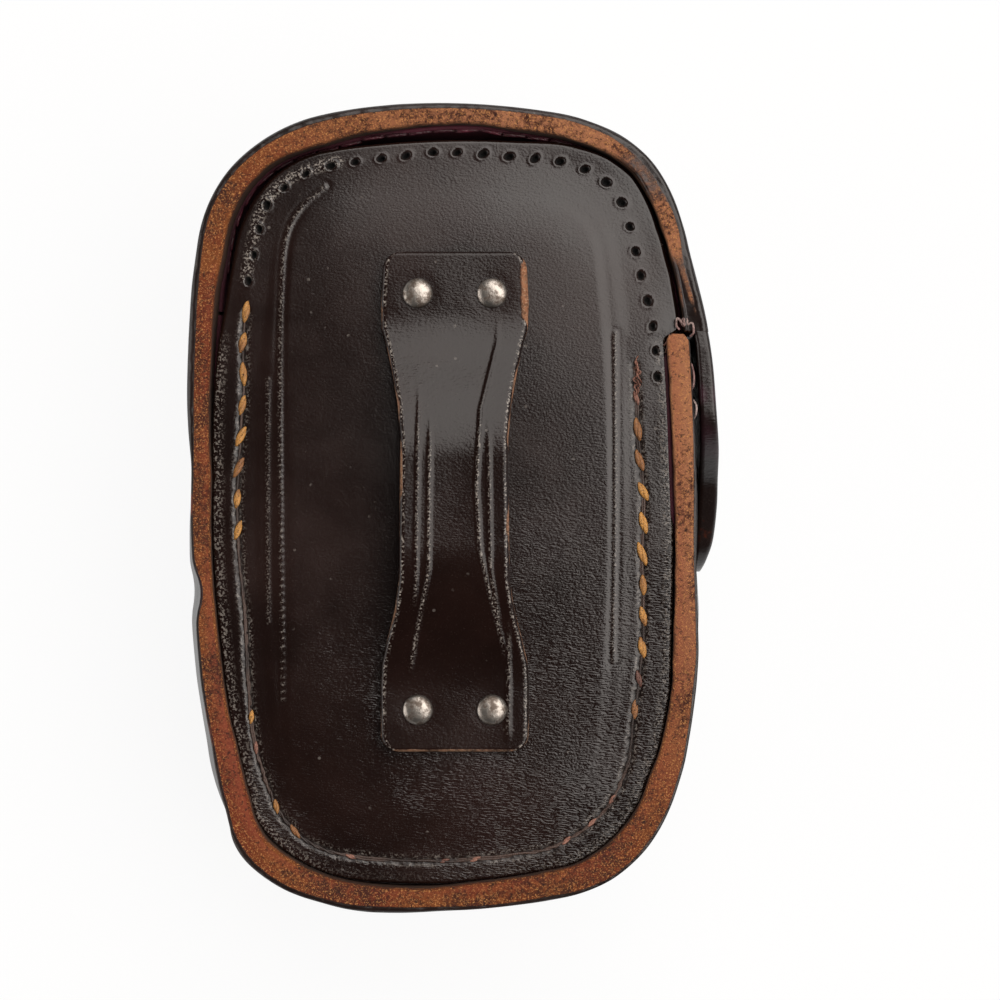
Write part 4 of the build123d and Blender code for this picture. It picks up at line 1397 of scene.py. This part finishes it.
@dataclass
class Seam:
    """Hand-sewn seam: bright twisted stitches over a soiled thread in the groove."""

    palette: Palette
    panel: BackPanel
    length: float = 2.5
    radius: float = 0.46

    def _unit(self, name: str) -> Thing:
        """One stitch of two twisted strands, 1 mm long and 1 mm thick."""
        maker = Maker()
        t = np.linspace(-0.5, 0.5, 24)
        swell = np.sqrt(np.clip(1 - (2 * t) ** 4, 0.02, 1))
        for k in (0, 1):
            angle = pi * k + t * 1.5 * pi
            line = np.stack([t, 0.24 * swell * np.cos(angle), 0.2 * swell * np.sin(angle)], axis=1)
            line[:, 2] -= 0.8 * (2 * t) ** 6
            maker.tube(line, 0.29 * swell + 0.02, 9)
        return maker.piece(name, self.palette.gold)

    def build(self) -> None:
        """Builds the stitches and the thread between them."""
        rng = np.random.default_rng(14)
        seam = self.panel.seam()
        places, ways = along_line(seam, self.panel.stitch_pitch, closed=False)
        way = np.interp(np.arange(len(places)), [0, len(places) - 1],
                        [self.panel.sewn_from, self.panel.sewn_to])
        bright = np.interp(way, [57, 62, 64, 98, 106, 112, 170, 176, 200, 208, 216, 232, 252],
                           [0.2, 0.35, 1.0, 0.9, 0.6, 0.12, 0.1, 0.16, 0.14, 0.4, 0.7, 0.95, 1.0])
        chance = rng.uniform(0, 1, len(places))
        gold, pink = chance < bright, (chance >= bright) & (chance < 0.45 + 0.55 * bright)
        sunk = 1 - bright
        heights = self.panel.height_at(places) + 0.12 - 0.18 * sunk
        spots = np.column_stack([places, heights])
        turns = np.zeros((len(places), 3))
        turns[:, 2] = np.arctan2(ways[:, 1], ways[:, 0]) + rng.normal(0.22, 0.14, len(places)) * (
            np.where(places[:, 0] > 0, 1, -1))
        sizes = np.column_stack([rng.uniform(0.85, 1.08, len(places)) * self.length,
                                 np.full(len(places), 2 * self.radius),
                                 np.full(len(places), 1.6 * self.radius)])
        sizes = sizes * (1 - 0.32 * sunk - 0.18 * pink)[:, None]
        for name, some, finish in (("seam_stitches", gold, self.palette.gold),
                                   ("seam_stitches_worn", pink, self.palette.pink)):
            made = Repeat(self._unit(f"{name}_unit"), finish).make(
                name, spots[some], turns[some], sizes[some], 0.06, 3)
            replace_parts(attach(made, Body.CASE.value), "seam_thread")
        line = seam[::5]
        z = self.panel.height_at(line) - 0.15 + 0.05 * np.sin(np.arange(len(line)) * 1.1)
        middle = np.column_stack([line, z])
        side = np.gradient(middle, axis=0)
        side = np.stack([side[:, 1], -side[:, 0]], axis=1) / np.linalg.norm(
            side[:, :2], axis=1)[:, None]
        middle[:, :2] += side * (0.09 * Ripple(61, 2.2, 7.0)(middle))[:, None]
        phase = way_along(middle) * 2 * pi / 1.5
        maker = Maker()
        for k in (0, pi):
            strand = middle.copy()
            strand[:, :2] += side * (0.14 * np.cos(phase + k))[:, None]
            strand[:, 2] += 0.12 * np.sin(phase + k)
            maker.tube(strand, 0.17, 7)
        under = maker.piece("seam_under_thread", self.palette.soiled)
        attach(under, Body.CASE.value)


@dataclass
class BeltLoop:
    """Waisted strap with rubbed edges and doubled creases, arched over the panel."""

    palette: Palette
    x: float = 1.5
    y: float = 0.9
    seat_z: float = 35.2
    half_length: float = 32.7
    leather: float = 2.2
    arch: float = 4.6
    corner: float = 2.3
    rivet_x: float = 9.7
    rivet_y: float = 54.4

    def half_width(self, v: np.ndarray) -> np.ndarray:
        """Half the strap's width at a distance from its middle."""
        at = [-32.7, -24.0, -21.3, -18.5, -14.0, -10.0, 8.0, 12.5, 17.0, 20.5, 22.6, 26.0, 32.7]
        half = [9.65, 9.7, 9.55, 8.9, 7.75, 7.15, 6.95, 7.35, 8.15, 8.95, 9.55, 9.65, 9.3]
        width = np.interp(v, at, half)
        past = np.clip(np.abs(v) - (self.half_length - self.corner), 0, self.corner)
        return width - self.corner + np.sqrt(np.clip(self.corner**2 - past**2, 1e-4, None))

    def rise(self, v: np.ndarray) -> np.ndarray:
        """Height of the strap's underside over the panel."""
        return self.arch * ease(25.0, 5.5, np.abs(v))

    def rivets(self) -> list[tuple[float, float]]:
        """Places of the rivets, from the strap's middle."""
        return [(sx * self.rivet_x / 2, sy * self.rivet_y / 2) for sx in (-1, 1) for sy in (-1, 1)]

    def _ridges(self, u: np.ndarray, v: np.ndarray) -> np.ndarray:
        """Height of the creases that run along the strap."""
        lines = [([-22.5, -17, -9, 12], [-5.9, -4.9, -3.3, -3.1], -21.5, 9, 0.20),
                 ([-15, -9, 12], [-5.2, -4.9, -4.6], -13, 13, 0.17),
                 ([-19, -12, -6, 2, 12, 21], [6.4, 4.6, 3.3, 2.9, 3.4, 5.6], -19.5, 21.5, 0.20),
                 ([-16, -9, 12], [5.9, 4.7, 4.4], -15.5, 8, 0.17),
                 ([-31, -18], [7.0, 7.05], -30.5, -17, 0.18)]
        total = np.zeros_like(u)
        for at, off, low, high, tall in lines:
            run = ease(low - 1.5, low + 1.5, v) * ease(high + 3, high - 3, v)
            total += tall * run * bell((u - np.interp(v, at, off)) / 0.22)
        return total

    def build(self) -> None:
        """Builds the strap."""
        end = np.linspace(30.6, self.half_length, 14)
        v = np.concatenate([-end[::-1], np.linspace(-30.3, 30.3, 210), end])
        share = np.linspace(-1, 1, 66)
        half, lift = self.half_width(v)[:, None], self.rise(v)[:, None]
        lay = Ripple(41, 7.0, 26.0)
        round_top, round_low = 0.55, 0.3
        flat = np.clip(half - round_top, 0.05, None)
        u = share[None] * flat
        vv = np.broadcast_to(v[:, None], u.shape)
        top = self._ridges(u, vv) - 0.12 * (1 - (share[None] ** 2)) * ease(16, 8, np.abs(vv))
        end = np.clip(np.abs(vv) - (self.half_length - 0.5), 0, 0.5)
        top = top - (0.5 - np.sqrt(0.25 - end**2)) + 0.04 * lay(np.dstack([u, vv, vv * 0]))
        for x, y in self.rivets():
            top -= 0.035 * ease(3.4, 1.9, np.hypot(u - x, vv - y))
        corner = np.linspace(0, QUARTER, 6)[1:]
        right_u = flat + round_top * np.sin(corner)[None]
        right_z, left_z = (self.leather + lift + top[:, k:k + 1 or None]
                           - round_top * (1 - np.cos(corner)[None]) for k in (-1, 0))
        low_r = np.hstack([half, half - 0.08, half - round_low])
        low_rz = np.hstack([lift + 0.9, lift + 0.28, lift])
        across = np.linspace(0.9, -0.9, 9)[None] * (half - round_low)
        grid_u = np.hstack([u, right_u, low_r, across, -low_r[:, ::-1], -right_u[:, ::-1]])
        grid_z = np.hstack([self.leather + lift + top, right_z, low_rz, lift + 0 * across,
                            low_rz[:, ::-1], left_z[:, ::-1]])
        grid_v = np.broadcast_to(v[:, None], grid_u.shape)
        points = np.dstack([self.x + grid_u, self.y + grid_v, self.seat_z + 0.02 + grid_z])
        n, m = u.shape[1], right_u.shape[1]
        strip = np.zeros(grid_u.shape[1])
        strip[n:n + m] = np.linspace(0.12, 0.56, m)
        strip[-m:] = np.linspace(0.56, 0.12, m)
        strip[n + m:-m] = 0.55
        ragged = Ripple(42, 4.0, 19.0, 16)(points) * 0.20
        spots = 0.55 * ease(-32.0, -32.5, grid_v) * (np.abs(grid_u) < 8)
        for tall, at, wide, low, high in ((0.75, 9.3, 0.9, (22.5, 24.5), (32.2, 30.8)),
                                          (0.6, -6.9, 0.35, (0, 2), (9, 7))):
            spots += (tall * bell((grid_u - at) / wide)
                      * ease(*low, grid_v) * ease(*high, grid_v))
        raw = np.clip(strip[None] + ragged * (strip[None] > 0.1) + spots, 0, 1)
        # painted glints along the tops of the strap's creases
        pale = np.clip(self._ridges(grid_u, grid_v) / 0.2, 0, 1) ** 2 * ease(16, 4, grid_v) * 0.9
        # painted glints along the strap's top edges
        rim = np.zeros(grid_u.shape[1])
        rim[[0, n - 1]] = 0.5
        rim[n] = rim[-1] = 0.8
        pale = np.maximum(pale, rim[None] * (grid_z > 1.5))
        flesh = np.zeros(grid_u.shape[1])
        flesh[n + m + 3:n + m + 12] = 1.0
        maker = Maker()
        maker.grid(points, raw=raw, pale=pale, flesh=np.broadcast_to(flesh, grid_u.shape))
        piece = maker.piece("belt_strap", self.palette.strap)
        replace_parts(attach(piece, Body.CASE.value), "belt_loop")


@dataclass
class Rivets:
    """Four domed rivets with their spread ends; the washers inside are the part's own nodes."""

    palette: Palette
    loop: BeltLoop
    head_z: float = 37.38
    peen_z: float = 29.7
    radius: float = 1.98

    def build(self) -> None:
        """Builds the rivets."""
        r, peen = self.radius, self.peen_z - self.head_z
        profile = [(0.06, peen), (1.45, peen), (1.6, peen + 0.12), (1.55, peen + 0.5),
                   (1.1, peen + 0.5), (1.1, -0.2), (r * 0.97, -0.2), (r, -0.05), (r, 0.10),
                   (r * 0.985, 0.2)]
        profile += [(r * 0.985 * cos(a) + 0.02, 0.12 + 0.80 * sin(a))
                    for a in np.linspace(0.15, QUARTER, 14)]
        maker = Maker()
        maker.grid(turned(profile, 44))
        repeat = Repeat(maker.piece("rivet_unit", self.palette.steel), self.palette.steel)
        spots = [(self.loop.x + x, self.loop.y + y, self.head_z) for x, y in self.loop.rivets()]
        turns = np.array([[0.05, -0.03, 0.4], [0.0, 0.06, 2.1], [-0.06, 0.0, 4.0],
                          [0.03, 0.05, 5.2]])
        made = repeat.make("loop_rivet_heads", np.array(spots), turns, np.ones((4, 3)))
        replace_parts(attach(made, Body.CASE.value), "loop_rivets")


@dataclass
class LidStitches:
    """Row of purple stitches that holds the lining below the rim of the lid."""

    palette: Palette
    shell: CupShell
    from_wall: float = 0.62
    z: float = 34.1
    pitch: float = 3.1
    low_y: float = 30.0

    def build(self) -> None:
        """Builds the row of stitches."""
        rng = np.random.default_rng(21)
        inset = self.shell.inner_inset(True, np.full(len(WAY), self.z)) + self.from_wall
        places, ways = along_line(inside(inset), self.pitch)
        keep = places[:, 1] > self.low_y
        places, ways = places[keep], ways[keep]
        maker = Maker()
        t = np.linspace(-0.5, 0.5, 18)
        for k in (0, pi):
            line = np.stack([t, 0.22 * np.cos(t * 9 + k), 0.22 * np.sin(t * 9 + k)], axis=1)
            maker.tube(line, 0.3 * np.sqrt(np.clip(1 - (2 * t) ** 6, 0.02, 1)))
        repeat = Repeat(maker.piece("lid_stitch_unit", self.palette.purple), self.palette.purple)
        middle = np.abs(places[:, 0] - 4) < 16
        z = self.z - 1.6 * ease(8, 22, np.abs(places[:, 0])) - 1.0 * ~middle
        spots = np.column_stack([places, z])
        turns = np.zeros((len(places), 3))
        turns[:, 2] = np.arctan2(ways[:, 1], ways[:, 0]) + rng.normal(0, 0.05, len(places))
        made = repeat.make("lid_stitches", spots, turns, np.array([[2.4, 0.5, 0.5]]), 0.08, 5)
        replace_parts(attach(made, Body.LID.value), "lid_thread")


@dataclass
class ClosingTab:
    """Tongue of the lid that lies outside the right wall and carries half of the snap."""

    palette: Palette
    shell: CupShell
    tip_y: float = -8.8
    tip_radius: float = 7.6
    tip_z: float = 17.0
    root_y: float = 21.3
    root_low_z: float = 8.0
    snap_y: float = 2.5

    def _outer_x(self, y: np.ndarray) -> np.ndarray:
        """Outer face."""
        knots = spline([(34.42, 24.6), (34.64, 23.2), (34.94, 21.5), (35.36, 18.5), (35.8, 14.0),
                        (36.18, 9.0), (36.5, 5.0), (36.72, 0.5), (36.4, -4.0), (35.7, -6.8),
                        (34.95, -9.0)], 240)
        return np.interp(y, knots[::-1, 1], knots[::-1, 0])

    def _inner_x(self, y: np.ndarray) -> np.ndarray:
        """Inner face, at an even gap from the wall."""
        return np.interp(y, [-8.9, 2.5, 12.0, 21.5, 23.0, 24.6],
                         [33.95, 34.09, 33.75, 33.02, 32.7, 32.4])

    def _reach(self, y: float) -> tuple[float, float]:
        """Lowest and highest edge at a height along the case."""
        centre = self.tip_y + self.tip_radius
        edges = []
        for root, sign in ((self.root_low_z, -1), (self.shell.depth, 1)):
            dy, dz = self.root_y - centre, root - self.tip_z
            far = hypot(dy, dz)
            turn = atan2(dz, dy) + sign * np.arccos(self.tip_radius / far)
            ty, tz = centre + self.tip_radius * cos(turn), self.tip_z + self.tip_radius * sin(turn)
            if y > ty:
                edges.append(tz + (y - ty) * (root - tz) / (self.root_y - ty))
            else:
                edges.append(self.tip_z + sign * sqrt(
                    max(self.tip_radius**2 - (y - centre) ** 2, 0.01)))
        flare = float(ease(self.root_y - 0.6, 23.3, y))
        high = max(edges)
        high += 0.8 * (self.shell.depth - 0.1 - high) * float(ease(2.5, 13.0, y))
        return min(edges) * (1 - flare) + 2.2 * flare, min(high, self.shell.depth - 0.12)

    def build(self) -> None:
        """Builds the tongue and the cap of the snap."""
        along = np.concatenate([np.linspace(23.22, 19, 26), np.linspace(18.7, -6, 84),
                                self.tip_y + 2.7 * (1 - np.sin(np.linspace(0, QUARTER, 16)))])
        rows, raws = [], []
        lay = Ripple(51, 9.0, 30.0)
        for y in along:
            low, high = self._reach(float(y))
            out, inn = float(self._outer_x(y)), float(self._inner_x(y))
            thick, r = out - inn, 0.55
            r = min(r, 0.45 * thick, 0.45 * (high - low))
            a = np.linspace(0, QUARTER, 6)
            tall = np.linspace(low + r, high - r, 26)
            outer = [(out, z) for z in tall]
            up = [(out - r + r * cos(t), high - r + r * sin(t)) for t in a[1:]]
            over = [(x, high) for x in np.linspace(out - r, inn + r * 0.5, 5)[1:]]
            inner = [(inn, z) for z in tall[::-1]]
            down = [(x, low) for x in np.linspace(inn + r * 0.5, out - r, 5)]
            back = [(out - r + r * sin(t), low + r - r * cos(t)) for t in a[1:-1]]
            loop = np.array(outer + up + over + inner + down + back)
            drop = np.clip(7.0 - loop[:, 1], 0, 5.5)
            loop[:, 0] -= 7.0 - np.sqrt(49.0 - drop**2)
            outside = loop[:, 0] > (out + inn) / 2
            sink = 0.22 * np.exp(-(((y - self.snap_y) ** 2 + (loop[:, 1] - self.tip_z) ** 2) / 26))
            bump = 0.06 * bell((y - 7.6) / 2.6) * ease(19, 25, loop[:, 1])
            loop[:, 0] += (bump - sink) * outside
            rows.append(np.column_stack([loop[:, 0], np.full(len(loop), y), loop[:, 1]]))
            raw = np.zeros(len(loop))
            raw[len(outer) + 1:len(outer) + len(up) + len(over)] = 0.30
            raws.append(raw)
        points = np.array(rows)
        points[..., 0] += 0.05 * lay(points) * ease(23.0, 19.0, points[..., 1])
        maker = Maker()
        streak = ease(22, 14, points[..., 1]) * ease(4, 13, points[..., 1]) * (points[..., 2] > 24)
        streak = streak * (0.5 + 0.5 * Ripple(52, 1.2, 5.0, 20)(points))
        raw = np.array(raws)
        maker.grid(points, raw=raw, worn=0.3 * (raw > 0), blush=np.clip(0.5 * streak, 0, 1))
        piece = maker.piece("closing_tongue", self.palette.shell)
        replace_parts(piece, "closing_tab")
        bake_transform(piece)
        self._cap()

    def _cap(self) -> None:
        """Domed cap with a rolled edge."""
        profile = [(0.05, -0.1), (4.3, -0.1), (4.58, 0.02), (4.62, 0.18), (4.5, 0.34), (4.25, 0.36),
                   (4.0, 0.33), (3.7, 0.42), (3.0, 0.62), (2.2, 0.78), (1.2, 0.88), (0.3, 0.92)]
        grid = turned(profile, 56)
        points = np.dstack([36.42 + grid[..., 2], self.snap_y + grid[..., 0],
                            self.tip_z + grid[..., 1]])
        maker = Maker()
        maker.grid(points)
        cap = maker.piece("snap_cap_dome", self.palette.brass)
        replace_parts(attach(cap, Body.TAB.value), "snap_cap")


@dataclass
class LooseThread:
    """Knot and worn thread ends where the wall stops beside the lid."""

    palette: Palette
    knot: tuple = (31.55, 24.4, 36.3)

    def build(self) -> None:
        """Builds the knot and the thread ends."""
        t = np.linspace(0, 1, 230)
        x, y, z = self.knot
        ball = np.stack([x + 0.40 * np.cos(t * 41) * np.cos(t * 9), y + 0.50 * np.sin(t * 41),
                         z + 0.38 * np.cos(t * 41 + 0.6) * np.sin(t * 9 + 0.4)], axis=1)
        maker = Maker()
        maker.tube(ball, 0.14, 6)
        pale = [[(31.9, 24.0, 36.6), (32.55, 24.2, 37.0), (32.7, 23.0, 37.1), (32.3, 22.5, 36.6)],
                [(32.5, 19.0, 35.7), (32.75, 17.6, 36.6), (32.72, 16.2, 36.6), (32.45, 15.4, 35.6)],
                [(32.75, 14.2, 35.6), (33.1, 13.4, 36.4), (33.05, 12.4, 36.4), (32.8, 11.8, 35.4)],
                [(31.2, 24.3, 36.5), (30.6, 24.9, 36.6), (30.5, 24.0, 36.3), (30.9, 23.4, 36.2)]]
        for line in pale:
            maker.tube(spline(line, 22), 0.15, 6)
        piece = maker.piece("loose_thread_ends", self.palette.white)
        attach(piece, Body.CASE.value)
        maker = Maker()
        rng = np.random.default_rng(33)
        for k in range(9):
            start = np.array([29.6 + 0.10 * k, 22.5 - 0.06 * k, 35.6])
            bend = start + np.array([rng.uniform(-0.2, 0.35), rng.uniform(-0.3, 0.5), 0.75])
            end = start + np.array([rng.uniform(-1.0, 0.3), rng.uniform(-2.0, -0.6), -0.15])
            maker.tube(spline([start, bend, end], 14), 0.11, 6)
        for k in range(14):
            y0 = 20.0 - 0.33 * k
            x0 = 25.35 + rng.normal(0, 0.12)
            line = [(x0, y0, 35.1), (x0 + rng.normal(0, 0.35), y0 - 0.5, 35.55),
                    (x0 + rng.normal(0, 0.3), y0 - 1.1, 35.05)]
            maker.tube(spline(line, 10), 0.10, 5)
        piece = maker.piece("frayed_seam_ends", self.palette.pink)
        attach(piece, Body.CASE.value)


class CarriedNodes:
    """CAD nodes that stay and only get a material."""

    def __init__(self, palette: Palette) -> None:
        self.finishes = {"seam_welt": palette.lining, "back_board": palette.board,
                         "back_lining": palette.lining, "rivet_washers": palette.steel,
                         "snap_stud": palette.brass, "snap_post": palette.brass,
                         "snap_socket": palette.brass, "snap_spring": palette.brass}

    def build(self) -> None:
        """Gives each node its material."""
        for name, material in self.finishes.items():
            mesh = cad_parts[name].data
            mesh.materials.clear()
            mesh.materials.append(material)


@dataclass(frozen=True)
class Studio:
    """Pale floor, soft lights and the camera straight above."""

    camera: Triple = (7.4, 1.1, 387.0)
    lens: float = 96.4
    floor_half: float = 9.0
    floor_drop: float = 0.0002
    white_share: float = 0.91

    def _floor(self) -> None:
        """Adds the floor, which is nearly white in the picture and in reflections."""
        mesh = bpy.data.meshes.new("floor")
        far = self.floor_half
        mesh.from_pydata([(-far, -far, 0), (far, -far, 0), (far, far, 0), (-far, far, 0)], [],
                         [(0, 1, 2, 3)])
        material = bpy.data.materials.new("floor")
        material.use_nodes = True
        g = Graph(material.node_tree)
        shader = material.node_tree.nodes["Principled BSDF"]
        shader.inputs["Base Color"].default_value = (0.94, 0.94, 0.935, 1)
        shader.inputs["Roughness"].default_value = 0.9
        light = g.node("ShaderNodeEmission", {"Color": (1, 1, 1, 1), "Strength": 1.0})
        rays = g.node("ShaderNodeLightPath")
        camera, glossy, through = (rays.outputs[f"Is {k} Ray"]
                                   for k in ("Camera", "Glossy", "Transmission"))
        seen = g.math("MAXIMUM", camera, g.math("MAXIMUM", glossy, through))
        both = g.node("ShaderNodeMixShader", {0: g.times(seen, self.white_share),
                                              1: shader.outputs[0], 2: light.outputs[0]})
        end = next(n for n in material.node_tree.nodes if n.type == "OUTPUT_MATERIAL")
        g.join(both.outputs[0], end.inputs["Surface"])
        floor = add_piece("floor", mesh, material)
        floor.location.z = -self.floor_drop

    @staticmethod
    def _lamp(name: str, place: tuple, size: tuple, power: float) -> None:
        """Adds a warm area light that faces the middle of the case."""
        data = bpy.data.lights.new(name, "AREA")
        data.shape, (data.size, data.size_y), data.energy = "RECTANGLE", size, power
        data.color = (1.0, 0.945, 0.90)
        lamp = bpy.data.objects.new(name, data)
        bpy.context.scene.collection.objects.link(lamp)
        lamp.location = place
        way = np.array((0.0, 0.0, 0.02)) - np.array(place)
        lamp.rotation_euler = (np.arctan2(hypot(way[0], way[1]), -way[2]), 0,
                               np.arctan2(-way[0], way[1]))

    def build(self) -> None:
        """Builds the stage and the camera."""
        scene = bpy.context.scene
        scene.view_settings.view_transform = "Standard"
        self._floor()
        world = bpy.data.worlds.new("room")
        world.use_nodes = True
        background = world.node_tree.nodes["Background"]
        background.inputs["Color"].default_value = (1, 1, 1, 1)
        g = Graph(world.node_tree)
        rise = g.node("ShaderNodeSeparateXYZ",
                      {0: g.node("ShaderNodeTexCoord").outputs["Generated"]}).outputs["Z"]
        g.join(g.step(rise, 0.05, 0.20, 1.0, 0.04), background.inputs["Strength"])
        scene.world = world
        self._lamp("window", (0.475, 0.279, 1.05), (2.2, 1.0), 24.0)
        self._lamp("high_window", (-0.1, 1.55, 0.85), (1.5, 0.8), 0.8)
        self._lamp("left", (-0.9, -0.15, 0.35), (0.9, 0.5), 3.0)
        data = bpy.data.cameras.new("camera")
        data.lens, data.sensor_width = self.lens, 36.0
        data.clip_start, data.clip_end = 0.01, 20.0
        camera = bpy.data.objects.new("camera", data)
        camera.location = [c * MM for c in self.camera]
        scene.collection.objects.link(camera)
        scene.camera = camera


def main() -> None:
    """Builds the object's pieces and the stage."""
    logging.basicConfig(level=logging.INFO, format="%(message)s")
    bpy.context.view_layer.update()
    palette = Palette()
    shell = CupShell(palette)
    panel = BackPanel(palette)
    loop = BeltLoop(palette)
    for piece in (shell, Lining(palette, shell), panel, Seam(palette, panel), loop,
                  Rivets(palette, loop), LidStitches(palette, shell), ClosingTab(palette, shell),
                  LooseThread(palette), CarriedNodes(palette), Studio()):
        piece.build()
        LOG.info("built %s", type(piece).__name__)


if __name__ == "__main__":
    main()
